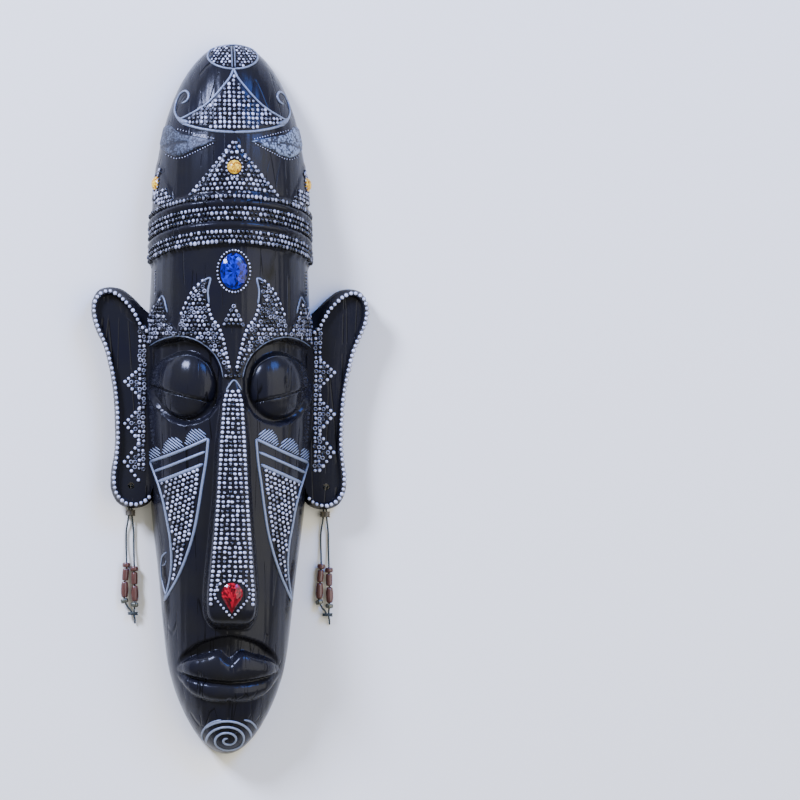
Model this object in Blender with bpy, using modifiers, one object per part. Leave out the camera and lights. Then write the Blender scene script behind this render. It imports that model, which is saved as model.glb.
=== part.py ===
"""A carved tribal face mask with a tall crown, two ears, five set stones and two ear tassels.

The mask lies on its back rim: +Z points out of the face, +Y towards the crown and +X to the
photograph's right. The origin is in the middle of the back plane. Sizes are in metres. The carving
is drawn in carving units, of which the mask is DRAWN_HEIGHT tall from chin to crown.
"""
import math

import bmesh
import bpy
import numpy as np
from mathutils import Matrix, Vector

# Driving sizes of the casting
MASK_HEIGHT = 0.391
WALL = 0.0065
RIM_TRIM = 0.003
EAR_BACK = 0.0045
EAR_THICKNESS = 0.0105
LOBE_HOLE = 0.0036

# Stones and how they are set
OVAL_STONE = (0.015, 0.020)
ROUND_STONE = (0.0078, 0.0078)
DROP_STONE = (0.0118, 0.0168)
STONE_GIRDLE = 0.0016
STONE_CROWN = 0.0021
SEAT_DEPTH = 0.0014
FIT_GAP = 0.0003

# Tassel cords, beads and knots
CORD_DIAMETER = 0.0011
BORE_GAP = 0.0003
COLLAR_BEAD = (0.0046, 0.0027)
BARREL_BEAD = (0.0038, 0.0068)
LONG_BEAD = (0.0043, 0.0088)
METAL_BEAD = (0.0044, 0.0025)
BEAD_GAP = 0.0005
KNOT_WIRE = 0.0009
SHOULDERS = {"collar": 0.2, "barrel": 0.14, "long": 0.3, "metal": 0.25, "knot": 0.12}

# Mesh fineness of the carving
CARVED_ROWS = 330
CARVED_COLUMNS = 180
INNER_COLUMNS = 44
EAR_POINTS = 36
KEPT_SHARE = 0.0264
MERGE_DISTANCE = 1e-6
OVAL_POINTS = 20
DROP_POINTS = 17
ROUND_POINTS = 12
HOLE_POINTS = 16
PATH_SAMPLES = 400
SEAT_REACH = 0.02

# The drawing of the mask, in carving units
DRAWN_HEIGHT = 391.0
UNIT = MASK_HEIGHT / DRAWN_HEIGHT
HALF_HEIGHT = DRAWN_HEIGHT / 2
RIM_STRAIGHT = 1.0
ROUND_ALONG = 0.70
ROUND_ACROSS = 0.85
BAND_DROP = 12.0

# Half width and depth of the head at stations from chin to crown, before its ends round off
HEAD_WIDTHS = ((-195.5, 49.0), (-150, 49.0), (-128, 45.9), (-106, 43.9), (-62, 44.2), (0, 46.2),
               (50, 45.6), (84, 47.2), (110, 50.8), (132, 53.2), (158, 56.4), (176, 57.8), (195.5, 58))
HEAD_DEPTHS = ((-195.5, 50.0), (-140, 47.0), (-60, 44.0), (0, 43.0), (60, 46.0), (120, 47.0),
               (195.5, 46.0))

# Eyes, on the right half
SOCKET = ((46.5, 22), (44.5, 28.5), (39, 31.8), (30, 34), (20, 31.8), (15, 28.8), (10, 24),
          (6.5, 17.5), (5.2, 11.5), (5.5, 3), (8, -4.5), (12, -10), (18, -13.5), (26, -15),
          (33, -13), (40, -7.5), (45, 2), (47, 12))
SOCKET_DEPTH = 6.0
SOCKET_EDGE = 2.4
SOCKET_FADE = (34.0, 47.0)
SOCKET_LOST = 0.75
EYE_CENTRE = (28.2, 7.4)
EYE_RADII = (18.2, 18.4)
EYE_SWELL = 9.0
LID_LINE = ((9.5, -3.2), (17, -0.6), (26, 1.6), (35, 4.2), (43.5, 6.8))
LID_CUT = (1.6, 1.1)
LID_STEP = 1.3
LID_SLOPE = 0.8
LID_ENDS = (0.3, 2.0)
LOWER_LID = (-14.0, -3.0)

# Nose: stations of y with half width of the flat top, half width of the foot, and height
NOSE_TOP = ((-126, 4.5), (-120, 7.6), (-112, 8.6), (-90, 8.1), (-60, 6.9), (-30, 5.8), (-10, 5),
            (0, 4.2), (5, 2.8), (10, 1.2))
NOSE_FOOT = ((-126, 11.5), (-120, 14.4), (-112, 15.4), (-90, 14.4), (-75, 13), (-50, 11),
             (-20, 9.5), (0, 6.6), (10, 3))
NOSE_HEIGHT = ((-126, 13.5), (-105, 13.2), (-80, 11.8), (-50, 9.4), (-20, 6.3), (0, 3), (10, 0.4))
NOSE_START = (12.0, 3.0)
NOSE_TIP = (-113.0, 13.0)
TIP_ROUND = 0.72

# Mouth, on the right half
LIP_FOLD = ((0, -129), (11, -131.2), (21, -135.7), (27, -142), (30, -148))
LIP_TOP = ((0, -143.8), (2, -142.8), (4.6, -140.3), (15, -141.3), (25, -144.2), (30, -149))
LIP_LINE = ((0, -155.7), (10, -154.9), (20, -152.8), (30, -149))
LIP_FOOT = ((0, -166), (12, -165), (20, -161.5), (26, -155), (30, -149.5))
MOUTH_HALF_WIDTH = 29.0
MOUTH_TAPER = 0.66
FOLD_DEPTH = 5.0
FOLD_SLOPES = ((0.0, 1.6), (-1.0, 1.2))
UPPER_LIP = (3.6, 0.6)
LOWER_LIP = (3.0, 0.7)
LIP_GAP = (2.6, 1.5)
LEAST_LIP = 0.2
CLEFT = ((0, -175), (0, -164))
CLEFT_CUT = (2.0, 0.6)

# Crown and its bands: the height of each ring where it crosses the front
CROWN_EDGE = 84.3
CROWN_STEP = 1.7
CROWN_SLOPE = 0.6
CROWN_TOP = (111.5, 113.5)
CROWN_EASE = 0.5
BAND_CORDS = (95.2, 107.4)
BAND_CORD = (3.4, 1.2)
BEAD_ROWS = (86.0, 88.6, 91.4, 98.6, 101.4, 104.2, 110.6)
BEAD_ROW = (2.6, 0.9)

# Raised panels and ridges on the right half
BROW_PANEL = ((0, 10), (0, 17), (2.7, 19), (4, 25), (5.8, 33), (8, 39.3), (12, 44), (14.5, 51),
              (14.2, 59), (13.2, 67), (18, 64), (22.5, 59), (25.5, 53), (28, 47.5), (30.3, 37.5),
              (32.5, 40.5), (35, 45.5), (35.8, 51), (38, 57), (41.5, 51), (43.8, 45.5), (46.5, 41),
              (48.5, 36), (45, 29), (39, 32.2), (30, 34.4), (20, 32.2), (15, 29.2), (10, 24.4),
              (6.5, 18), (5, 12))
CENTRE_FLAME = ((-3, 39), (0, 53), (2.5, 46), (6, 39))
CROWN_TRIANGLE = ((-5, 109), (0.0, 140), (23.5, 109))
SIDE_TRIANGLE = ((40.5, 133), (30.5, 108), (48, 108), (48, 133))
CURVED_TRIANGLE = ((0, 179), (5, 172), (10, 166), (15, 161), (20, 157.5), (25, 154.7), (28, 153.7),
                   (31, 155), (28, 151), (20, 148.2), (10, 146.4), (0, 145.8), (-5, 146), (-5, 176))
LEAF = ((9.5, 141), (20, 143.5), (30, 146), (34, 150), (38, 148), (39.5, 141), (37, 138),
        (35, 134.5), (31, 132.3), (28, 132.5), (20, 136.3))
PANEL_STEP = 0.7
PANEL_EDGE = 0.8
TRIANGLE_SIDE = ((0, 181), (2, 176), (5, 172), (10, 166), (15, 161), (20, 157.5), (25, 154.7),
                 (28, 153.7), (31, 155.4), (32.4, 160), (31, 164.5), (28.3, 168.8), (26, 169.8),
                 (24.5, 168), (25.2, 165), (27, 162.3), (28.6, 161.7))
TRIANGLE_FOOT = ((31, 154.8), (28, 151), (20, 148.2), (10, 146.4), (0, 145.8))
CHEEK_OUTLINE = ((43.5, -34.8), (28, -28.6), (13, -21.8), (14, -33), (16, -46), (18, -60),
                 (20.3, -73), (24.3, -87), (28.5, -98), (35, -111), (33.3, -103.5), (32, -95),
                 (32.3, -80), (34.3, -68), (36.8, -55.5), (40, -45), (43.5, -34.8))
CHEEK_BARS = (((14.7, -29), (41.5, -40.2)), ((15.8, -35.7), (39.5, -45.7)))
CHEEK_SCALLOPS = (((13.2, -21.4), (14.6, -18.6), (17, -16.6), (19.8, -15.9), (22.6, -16.8),
                   (24.8, -19.6), (26, -23.4), (26, -26.6)),
                  ((26, -26.6), (26.8, -23.6), (28.8, -21.5), (31.8, -20.7), (34.6, -21.8),
                   (36.8, -24.6), (37.8, -28.4), (37.8, -31.6)),
                  ((37.8, -31.6), (38.4, -28.6), (39.8, -26.8), (41.8, -26.3), (43.6, -27.8),
                   (44.8, -31), (45, -34.4)))
CROWN_MEDALLION = (0.0, 187.6, 13.2, 7.2)
RIDGE = (1.9, 0.9)
CHIN_CENTRE = (0.0, -187.3)
CHIN_SPIRAL_PITCH = 4.5
CHIN_SPIRAL_TURNS = 3.4
CHIN_SPIRAL_LEAN = 0.72
CHIN_RIDGE = (1.7, 0.9)
ENDS_FADE = 0.975

# Where the plain hollow gives way behind the sunk work: place, reach and depth
EYE_HOLLOW = (15.0, 18.0, 4.5)
MOUTH_HOLLOW = (-138.0, 17.0, 12.0, 4.0)

# The right ear: the cast edge, and the beaded rim that stands inside it
EAR_EDGE = ((40, 44), (46, 48), (53, 55), (60, 60), (66, 61), (72, 59.5), (75.6, 54), (76.2, 47),
            (73.5, 37), (70, 30), (66.5, 18), (64, 4), (62.9, -12), (62.9, -29), (64.7, -41),
            (64.4, -51), (60.5, -58), (53, -60.5), (44, -58), (40, -50), (40, -20), (40, 20))
EAR_RIM = ((42, 33), (48.5, 38), (54, 48), (60, 54.6), (66, 58.2), (71, 57.2), (74, 53), (74.3, 47),
           (71.8, 38), (68.2, 30), (64.8, 18), (62.2, 4), (61.2, -12), (61.2, -29), (62.8, -41),
           (62.6, -50), (59.4, -56), (53, -58.3), (45, -55.5), (41.5, -48), (41.5, -20), (41.5, 15))
EAR_SPINE = ((46, -46), (60, 46))
EAR_DISH = 3.2
EAR_ROUND = (1.2, 1.6)
LOBE_CENTRE = (53.7, -48.0)

# Where the stones sit: share of the head's half width at that height, and height
FOREHEAD_SEAT = (0.0, 69.8)
CROWN_SEATS = {"centre": (0.0, 126.6), "right": (0.975, 118.0), "left": (-0.975, 118.0)}
NOSE_SEAT = (0.0, -107.6)
TABLE_SHARES = ((0.78, 0.7), (0.45, 1.0))
TIP_CLEARANCE = 1.6


def smooth_step(value, low, high):
    """0 below low, 1 above high, and a smooth S between them."""
    t = np.clip((value - low) / (high - low), 0.0, 1.0)
    return t * t * (3.0 - 2.0 * t)


def smooth_curve(value, stations):
    """The smooth curve through (place, value) stations: a cubic in each span, with the slope at a
    station taken from its two neighbours."""
    places, heights = np.array(stations, dtype=float).T
    slopes = np.gradient(heights, places)
    value = np.clip(value, places[0], places[-1])
    span_index = np.clip(np.searchsorted(places, value) - 1, 0, len(places) - 2)
    span = places[span_index + 1] - places[span_index]
    t = (value - places[span_index]) / span
    low = heights[span_index]
    high = heights[span_index + 1]
    low_slope = slopes[span_index] * span
    high_slope = slopes[span_index + 1] * span
    return ((2 * t**3 - 3 * t**2 + 1) * low + (t**3 - 2 * t**2 + t) * low_slope
            + (3 * t**2 - 2 * t**3) * high + (t**3 - t**2) * high_slope)


def smooth_path(points, count):
    """Points at even steps along the smooth curve through a list of points."""
    points = np.array(points, dtype=float)
    along = np.concatenate(([0.0], np.cumsum(np.linalg.norm(np.diff(points, axis=0), axis=1))))
    steps = np.linspace(0.0, along[-1], count)
    return np.stack([smooth_curve(steps, np.stack([along, column], axis=1))
                     for column in points.T], axis=1)


def line_distance(x, y, points):
    """Distance from each place to the nearest stretch of a line through points."""
    nearest = np.full(np.shape(x), np.inf)
    for (x0, y0), (x1, y1) in zip(points[:-1], points[1:]):
        run_x, run_y = x1 - x0, y1 - y0
        square = max(run_x**2 + run_y**2, MERGE_DISTANCE)
        share = np.clip(((x - x0) * run_x + (y - y0) * run_y) / square, 0.0, 1.0)
        nearest = np.minimum(nearest, np.hypot(x - x0 - share * run_x, y - y0 - share * run_y))
    return nearest


def depth_inside(x, y, outline):
    """Distance to a closed outline, positive inside it and negative outside."""
    inside = np.zeros(np.shape(x), dtype=bool)
    closed = list(outline) + [outline[0]]
    for (x0, y0), (x1, y1) in zip(closed[:-1], closed[1:]):
        if y0 == y1:
            continue
        crosses = (y0 > y) != (y1 > y)
        inside ^= crosses & (x < x0 + (y - y0) * (x1 - x0) / (y1 - y0))
    distance = line_distance(x, y, closed)
    return np.where(inside, distance, -distance)


def ridge(distance, width, height):
    """Half-round bead of the given width and height over the line it follows."""
    return height * np.sqrt(np.clip(1.0 - (2.0 * distance / width) ** 2, 0.0, 1.0))


def panel(x, y, outline, step=PANEL_STEP, edge=PANEL_EDGE):
    """Flat field raised by step inside an outline, with a short slope at its edge."""
    return step * smooth_step(depth_inside(x, y, outline), 0.0, edge)


def head_form(theta, phi, inset=0.0):
    """Smooth head: theta runs round from one side to the other and phi from chin to crown. The
    width and depth at each height come from the stations and round off towards both ends."""
    drawn_y = HALF_HEIGHT * np.sin(phi)
    width = (smooth_curve(drawn_y, HEAD_WIDTHS) - inset) * np.cos(phi)
    depth = (smooth_curve(drawn_y, HEAD_DEPTHS) - inset) * np.cos(phi) ** ROUND_ALONG
    x = width * np.sin(theta)
    y = (HALF_HEIGHT - inset) * np.sin(phi)
    z = RIM_STRAIGHT + depth * np.abs(np.cos(theta)) ** ROUND_ACROSS
    return x, y, z


def eye_relief(side, y):
    """Sunk socket with a swelling closed eye and the cut between its lids."""
    fade = 1.0 - SOCKET_LOST * smooth_step(side, *SOCKET_FADE)
    relief = -SOCKET_DEPTH * fade * smooth_step(depth_inside(side, y, SOCKET), 0.0, SOCKET_EDGE)
    reach = ((side - EYE_CENTRE[0]) / EYE_RADII[0]) ** 2 + ((y - EYE_CENTRE[1]) / EYE_RADII[1]) ** 2
    eye = EYE_SWELL * np.sqrt(np.clip(1.0 - reach, 0.0, 1.0)) * fade
    lid = smooth_curve(side, LID_LINE)
    on_eye = smooth_step(eye, *LID_ENDS)
    below = smooth_step(lid - y, 0.0, LID_SLOPE) * smooth_step(y - lid, *LOWER_LID)
    cut = ridge(np.abs(y - lid), *LID_CUT)
    return relief + eye - on_eye * (cut + LID_STEP * below)


def nose_relief(side, y):
    """Long wedge with a flat top that grows down to a blunt tip."""
    top = smooth_curve(y, NOSE_TOP)
    foot = smooth_curve(y, NOSE_FOOT)
    start, slope = NOSE_START
    height = smooth_curve(y, NOSE_HEIGHT) * smooth_step(start - y, 0.0, slope)
    under = np.clip((NOSE_TIP[0] - y) / NOSE_TIP[1], 0.0, 1.0)
    height = height * (1.0 - under**2) ** TIP_ROUND
    return height * (1.0 - smooth_step(side, top, foot))


def mouth_relief(side, y):
    """Arched fold, the sunk strip under it, two lips and the gap between them."""
    fold = smooth_curve(side, LIP_FOLD)
    top = smooth_curve(side, LIP_TOP)
    line = smooth_curve(side, LIP_LINE)
    foot = smooth_curve(side, LIP_FOOT)
    ends = 1.0 - smooth_step(side, MOUTH_TAPER * MOUTH_HALF_WIDTH, MOUTH_HALF_WIDTH)
    sunk = smooth_step(fold - y, *FOLD_SLOPES[0]) * smooth_step(y - top, *FOLD_SLOPES[1])
    upper = np.clip((y - line) / np.maximum(top - line, LEAST_LIP), 0.0, 1.0)
    lower = np.clip((y - foot) / np.maximum(line - foot, LEAST_LIP), 0.0, 1.0)
    relief = (-FOLD_DEPTH * sunk + UPPER_LIP[0] * np.sin(np.pi * upper) ** UPPER_LIP[1]
              + LOWER_LIP[0] * np.sin(np.pi * lower) ** LOWER_LIP[1])
    relief = (relief - ridge(np.abs(y - line), *LIP_GAP)) * ends
    return relief - ridge(line_distance(side, y, CLEFT), *CLEFT_CUT)


def ring_height(y, theta):
    """Height at which the ring through a place crosses the front: the bands lean, so they fall
    by BAND_DROP on their way to the sides."""
    return y + BAND_DROP * (1.0 - np.abs(np.cos(theta)))


def crown_relief(y, theta):
    """Step of the crown over the forehead, with its round cords and rows of beads."""
    ring = ring_height(y, theta)
    relief = CROWN_STEP * smooth_step(ring, CROWN_EDGE - CROWN_SLOPE, CROWN_EDGE + CROWN_SLOPE)
    relief = relief - CROWN_STEP * CROWN_EASE * smooth_step(ring, *CROWN_TOP)
    for height in BAND_CORDS:
        relief = relief + ridge(np.abs(ring - height), *BAND_CORD)
    for height in BEAD_ROWS:
        relief = relief + ridge(np.abs(ring - height), *BEAD_ROW)
    return relief


def spiral_distance(x, y):
    """Distance to the chin's flattened spiral, whose radius grows by one pitch a turn."""
    across = x - CHIN_CENTRE[0]
    along = (y - CHIN_CENTRE[1]) / CHIN_SPIRAL_LEAN
    radius = np.hypot(across, along)
    turn = np.mod(np.arctan2(along, across) / (2 * math.pi), 1.0)
    nearest = np.round(radius / CHIN_SPIRAL_PITCH - turn)
    nearest = np.clip(nearest, 0, math.floor(CHIN_SPIRAL_TURNS) - 1)
    return np.abs(radius - (nearest + turn) * CHIN_SPIRAL_PITCH)


def ornament_relief(x, y):
    """Raised fields of the brow and the crown, and the ridges drawn round them."""
    side = np.abs(x)
    relief = np.zeros(np.shape(x))
    for outline in (BROW_PANEL, CENTRE_FLAME, CROWN_TRIANGLE, SIDE_TRIANGLE, CURVED_TRIANGLE, LEAF):
        relief = np.maximum(relief, panel(side, y, outline))
    lines = [TRIANGLE_SIDE, TRIANGLE_FOOT, CHEEK_OUTLINE, *CHEEK_BARS, *CHEEK_SCALLOPS]
    for line in lines:
        relief = np.maximum(relief, ridge(line_distance(side, y, line), *RIDGE))
    centre_x, centre_y, radius_x, radius_y = CROWN_MEDALLION
    reach = np.hypot((x - centre_x) / radius_x, (y - centre_y) / radius_y)
    relief = np.maximum(relief, ridge(np.abs(reach - 1.0) * radius_y, *RIDGE))
    return np.maximum(relief, ridge(spiral_distance(x, y), *CHIN_RIDGE))


def carved_relief(x, y, theta):
    """How far the carving stands out of the smooth head at each place. It dies away where the
    chin and the crown turn under, so the mask keeps its height."""
    side = np.abs(x)
    relief = eye_relief(side, y) + nose_relief(side, y) + mouth_relief(side, y)
    ends = 1.0 - smooth_step(np.abs(y) / HALF_HEIGHT, ENDS_FADE, 1.0)
    return (relief + crown_relief(y, theta) + ornament_relief(x, y)) * ends


def outward(x, y, z):
    """Unit normals of a surface grid, from the cross product of its two directions."""
    points = np.stack([x, y, z], axis=-1)
    normals = np.cross(np.gradient(points, axis=1), np.gradient(points, axis=0))
    length = np.linalg.norm(normals, axis=-1, keepdims=True)
    return points, normals / np.maximum(length, MERGE_DISTANCE)


def mould_swell(x, y):
    """How far the plain hollow gives way behind the sunk eyes and mouth."""
    across, along, depth = EYE_HOLLOW
    eyes = np.exp(-((np.abs(x) - EYE_CENTRE[0]) / across) ** 2 - ((y - EYE_CENTRE[1]) / along) ** 2)
    middle, wide, high, sunk = MOUTH_HOLLOW
    mouth = np.exp(-(x / wide) ** 2 - ((y - middle) / high) ** 2)
    return depth * eyes + sunk * mouth


def head_sections():
    """Closed sections of the shell from chin to crown: over the carved outside, down past the
    back plane, and back along the plain inside."""
    rows = np.radians(np.linspace(-90.0, 90.0, CARVED_ROWS))
    outer_turn, outer_rows = np.meshgrid(np.radians(np.linspace(-90.0, 90.0, CARVED_COLUMNS)), rows)
    points, normals = outward(*head_form(outer_turn, outer_rows))
    relief = carved_relief(points[..., 0], points[..., 1], outer_turn)
    outside = points + normals * relief[..., None]

    inner_turn, inner_rows = np.meshgrid(np.radians(np.linspace(90.0, -90.0, INNER_COLUMNS)), rows)
    inside = np.stack(head_form(inner_turn, inner_rows, inset=WALL / UNIT), axis=-1)
    sunk = inside[..., 2] - mould_swell(inside[..., 0], inside[..., 1])
    inside[..., 2] = np.maximum(sunk, RIM_STRAIGHT)

    skirts = []
    for edge in (outside[:, -1:], inside[:, :1], inside[:, -1:], outside[:, :1]):
        skirt = edge.copy()
        skirt[..., 2] = -RIM_TRIM / UNIT
        skirts.append(skirt)
    return np.concatenate([outside, skirts[0], skirts[1], inside, skirts[2], skirts[3]], axis=1)


def new_mesh(name, points, quads):
    """Mesh object from points in metres and faces, with coinciding points merged."""
    mesh = bpy.data.meshes.new(name)
    mesh.from_pydata([tuple(point) for point in points], [], quads)
    work = bmesh.new()
    work.from_mesh(mesh)
    bmesh.ops.remove_doubles(work, verts=work.verts, dist=MERGE_DISTANCE)
    bmesh.ops.dissolve_degenerate(work, edges=work.edges, dist=MERGE_DISTANCE)
    bmesh.ops.recalc_face_normals(work, faces=work.faces)
    work.to_mesh(mesh)
    work.free()
    return bpy.data.objects.new(name, mesh)


def tube_quads(rows, columns):
    """Faces of a run of closed sections."""
    return [(row * columns + column, row * columns + (column + 1) % columns,
             (row + 1) * columns + (column + 1) % columns, (row + 1) * columns + column)
            for row in range(rows - 1) for column in range(columns)]


def make_head():
    sections = head_sections()
    rows, columns = sections.shape[:2]
    return new_mesh("mask", sections.reshape(-1, 3) * UNIT, tube_quads(rows, columns))


def make_ear(side_name, sign):
    """Ear as nested rings between its spine and its edge: flat back, upright edge, a raised rim
    and a dished front."""
    edge = smooth_path(list(EAR_EDGE) + [EAR_EDGE[0]], EAR_POINTS + 1)[:-1]
    rim = smooth_path(list(EAR_RIM) + [EAR_RIM[0]], EAR_POINTS + 1)[:-1]
    low, high = np.array(EAR_SPINE, dtype=float)
    spine_share = np.clip((edge[:, 1:] - low[1]) / (high[1] - low[1]), 0.0, 1.0)
    spine = low + (high - low) * spine_share
    back = EAR_BACK / UNIT
    front = back + EAR_THICKNESS / UNIT
    lower, upper = EAR_ROUND
    rings = []
    for flat, share, height in ((edge, 0.02, back), (edge, 0.97, back), (edge, 1.0, back + lower),
                                (rim, 1.0, front - upper), (rim, 0.985, front), (rim, 0.93, front),
                                (rim, 0.86, front - EAR_DISH), (rim, 0.45, front - EAR_DISH),
                                (rim, 0.02, front - EAR_DISH)):
        ring = spine + (flat - spine) * share
        rings.append(np.concatenate([ring, np.full((EAR_POINTS, 1), height)], axis=1))
    points = np.concatenate(rings)
    points[:, 0] *= sign
    quads = tube_quads(len(rings), EAR_POINTS)
    last = (len(rings) - 1) * EAR_POINTS
    for first in (0, last):
        quads.append([first + index for index in range(EAR_POINTS)])
    return new_mesh(f"ear_{side_name}", points * UNIT, quads)


def seat_frame(place):
    """Frame of a stone seat: its origin on the carved surface, +Z outward and +Y up the mask."""
    share, y = place
    phi = math.asin(y / HALF_HEIGHT)
    steps = np.array([-SEAT_REACH, 0.0, SEAT_REACH])
    turn, row = np.meshgrid(math.asin(share) + steps, phi + steps)
    points, normals = outward(*head_form(turn, row))
    relief = carved_relief(points[..., 0], points[..., 1], turn)
    carved, slopes = outward(*np.moveaxis(points + normals * relief[..., None], -1, 0))
    out = Vector(slopes[1, 1])
    up = (Vector((0, 1, 0)) - out * out.y).normalized()
    frame = Matrix((up.cross(out), up, out)).transposed().to_4x4()
    return Matrix.Translation(Vector(carved[1, 1]) * UNIT) @ frame


def oval_outline(size, grow, count):
    """Ellipse of the given width and height, grown all round."""
    angles = np.linspace(0.0, 2 * math.pi, count, endpoint=False)
    return np.stack([(size[0] / 2 + grow) * np.cos(angles), (size[1] / 2 + grow) * np.sin(angles)],
                    axis=1)


def drop_outline(size, grow, count):
    """Drop with its point down: a circle above, and sides that run straight to the point."""
    radius = size[0] / 2 + grow
    centre = size[1] / 2 - size[0] / 2
    tip = -size[1] / 2 - grow * TIP_CLEARANCE
    reach = math.asin(radius / (centre - tip))
    angles = np.linspace(-reach, math.pi + reach, count - 1)
    arc = np.stack([radius * np.cos(angles), centre + radius * np.sin(angles)], axis=1)
    return np.concatenate([arc, [[0.0, tip]]])


def stacked_rings(name, rings):
    """Solid through rings of points, closed by a flat face at each end."""
    count = len(rings[0])
    quads = tube_quads(len(rings), count)
    last = (len(rings) - 1) * count
    quads += [list(range(count)), list(range(last, last + count))]
    return new_mesh(name, np.concatenate(rings), quads)


def level(flat, height):
    return np.concatenate([flat, np.full((len(flat), 1), height)], axis=1)


def make_stone(name, outline, size, place, count):
    """Flat-backed stone: an upright girdle, a sloping crown and a small flat table."""
    flat = outline(size, 0.0, count)
    floor = -SEAT_DEPTH + FIT_GAP
    top = floor + STONE_GIRDLE
    facets = [level(flat * share, top + STONE_CROWN * height) for share, height in TABLE_SHARES]
    stone = stacked_rings(name, [level(flat, floor), level(flat, top), *facets])
    stone.matrix_world = seat_frame(place)
    return stone


def make_seat(name, outline, size, place, count):
    """Cutter for a stone seat: the stone's outline with a gap all round."""
    flat = outline(size, FIT_GAP, count)
    rings = [level(flat, -SEAT_DEPTH), level(flat, STONE_GIRDLE + STONE_CROWN * 2)]
    seat = stacked_rings(f"{name}_seat", rings)
    seat.matrix_world = seat_frame(place)
    return seat


# Tassels. Each cord's route is chosen by hand, in metres, measured from the middle of the lobe hole
# in x and y and from the back plane in z: out of the hole, under the lobe and along the floor.
CORD_ROUTES = {
    "a": ((-0.00085, 0.0, 0.0110), (-0.00085, 0.0, 0.0066), (-0.00085, -0.0009, 0.0040),
          (-0.00085, -0.0033, 0.0024), (-0.0008, -0.0085, 0.0020), (-0.0008, -0.0152, 0.0020),
          (-0.0012, -0.0192, 0.0015), (-0.0020, -0.0245, 0.0008), (-0.0021, -0.0320, 0.0007),
          (-0.0019, -0.0385, 0.0014), (-0.0019, -0.0439, 0.0025), (-0.0024, -0.0494, 0.0025),
          (-0.0028, -0.0580, 0.0025), (-0.0027, -0.0640, 0.0025), (-0.0018, -0.0656, 0.0023),
          (-0.0008, -0.0672, 0.0020), (0.0005, -0.0686, 0.0021), (0.0010, -0.0700, 0.0021),
          (0.0011, -0.0716, 0.0021)),
    "b": ((0.00085, 0.0, 0.0110), (0.00085, 0.0, 0.0066), (0.00085, -0.0009, 0.0040),
          (0.00085, -0.0033, 0.0024), (0.0008, -0.0085, 0.0020), (0.0008, -0.0152, 0.0020),
          (0.0012, -0.0192, 0.0015), (0.0019, -0.0245, 0.0008), (0.0021, -0.0320, 0.0007),
          (0.0023, -0.0400, 0.0014), (0.0025, -0.0469, 0.0025), (0.0026, -0.0527, 0.0025),
          (0.0029, -0.0610, 0.0025), (0.0027, -0.0670, 0.0024), (0.0025, -0.0696, 0.0021),
          (0.0025, -0.0716, 0.0021), (0.0030, -0.0737, 0.0010), (0.0031, -0.0762, 0.0006)),
}
CORD_STEP = 0.0029
FIRST_BEAD = {"a": -0.0439, "b": -0.0460}
UPPER_KNOT = (0.0, -0.0152, 0.0020)
UPPER_KNOT_SIZE = (0.0054, 0.0034)
END_KNOT = (0.0018, -0.0706, 0.0021)
END_KNOT_SIZE = (0.0056, 0.0020)
KNOT_FLATNESS = 0.70
TURNED_SIDES = 8
SHOULDER_HEIGHT = 0.45
CORD_ROUNDNESS = 2


def cord_path(strand):
    """Points along a cord's route at a few diameters' spacing, on one smooth curve."""
    fine = smooth_path(CORD_ROUTES[strand], PATH_SAMPLES)
    length = float(np.linalg.norm(np.diff(fine, axis=0), axis=1).sum())
    return smooth_path(fine, round(length / CORD_STEP))


def make_cord(name, strand, hole):
    """Round cord along its route, as a bevelled curve turned into a mesh."""
    curve = bpy.data.curves.new(name, "CURVE")
    curve.dimensions = "3D"
    curve.bevel_depth = CORD_DIAMETER / 2
    curve.bevel_resolution = CORD_ROUNDNESS
    curve.use_fill_caps = True
    path = cord_path(strand)
    spline = curve.splines.new("POLY")
    spline.points.add(len(path) - 1)
    for point, place in zip(spline.points, path):
        point.co = (*(hole + Vector(place)), 1.0)
    return bpy.data.objects.new(name, curve)


def turned_ring(name, size, bore, narrowing):
    """Bead turned about Z: outer profile top to bottom, then back up its bore."""
    radius, half = size[0] / 2, size[1] / 2
    shoulder = radius * (1.0 - narrowing)
    rise = half * SHOULDER_HEIGHT
    profile = [(bore, half), (shoulder, half), (radius, rise), (radius, -rise),
               (shoulder, -half), (bore, -half)]
    mesh = bpy.data.meshes.new(name)
    edges = [(index, (index + 1) % len(profile)) for index in range(len(profile))]
    mesh.from_pydata([(x, 0.0, z) for x, z in profile], edges, [])
    ring = bpy.data.objects.new(name, mesh)
    screw = ring.modifiers.new("Turned", "SCREW")
    screw.axis = "Z"
    screw.steps = TURNED_SIDES
    screw.render_steps = TURNED_SIDES
    screw.use_merge_vertices = True
    screw.merge_threshold = MERGE_DISTANCE
    return ring


def bead_pose(strand, hole, y):
    """Matrix that centres a bead on its cord at height y, with its bore along the cord."""
    fine = smooth_path(CORD_ROUTES[strand], PATH_SAMPLES)
    index = int(np.argmin(np.abs(fine[:, 1] - y)))
    along = Vector(fine[index + 3] - fine[index - 3]).normalized()
    across = along.cross(Vector((0, 0, 1))).normalized()
    turn = Matrix((across, along.cross(across), along)).transposed().to_4x4()
    return Matrix.Translation(hole + Vector(fine[index])) @ turn


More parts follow.
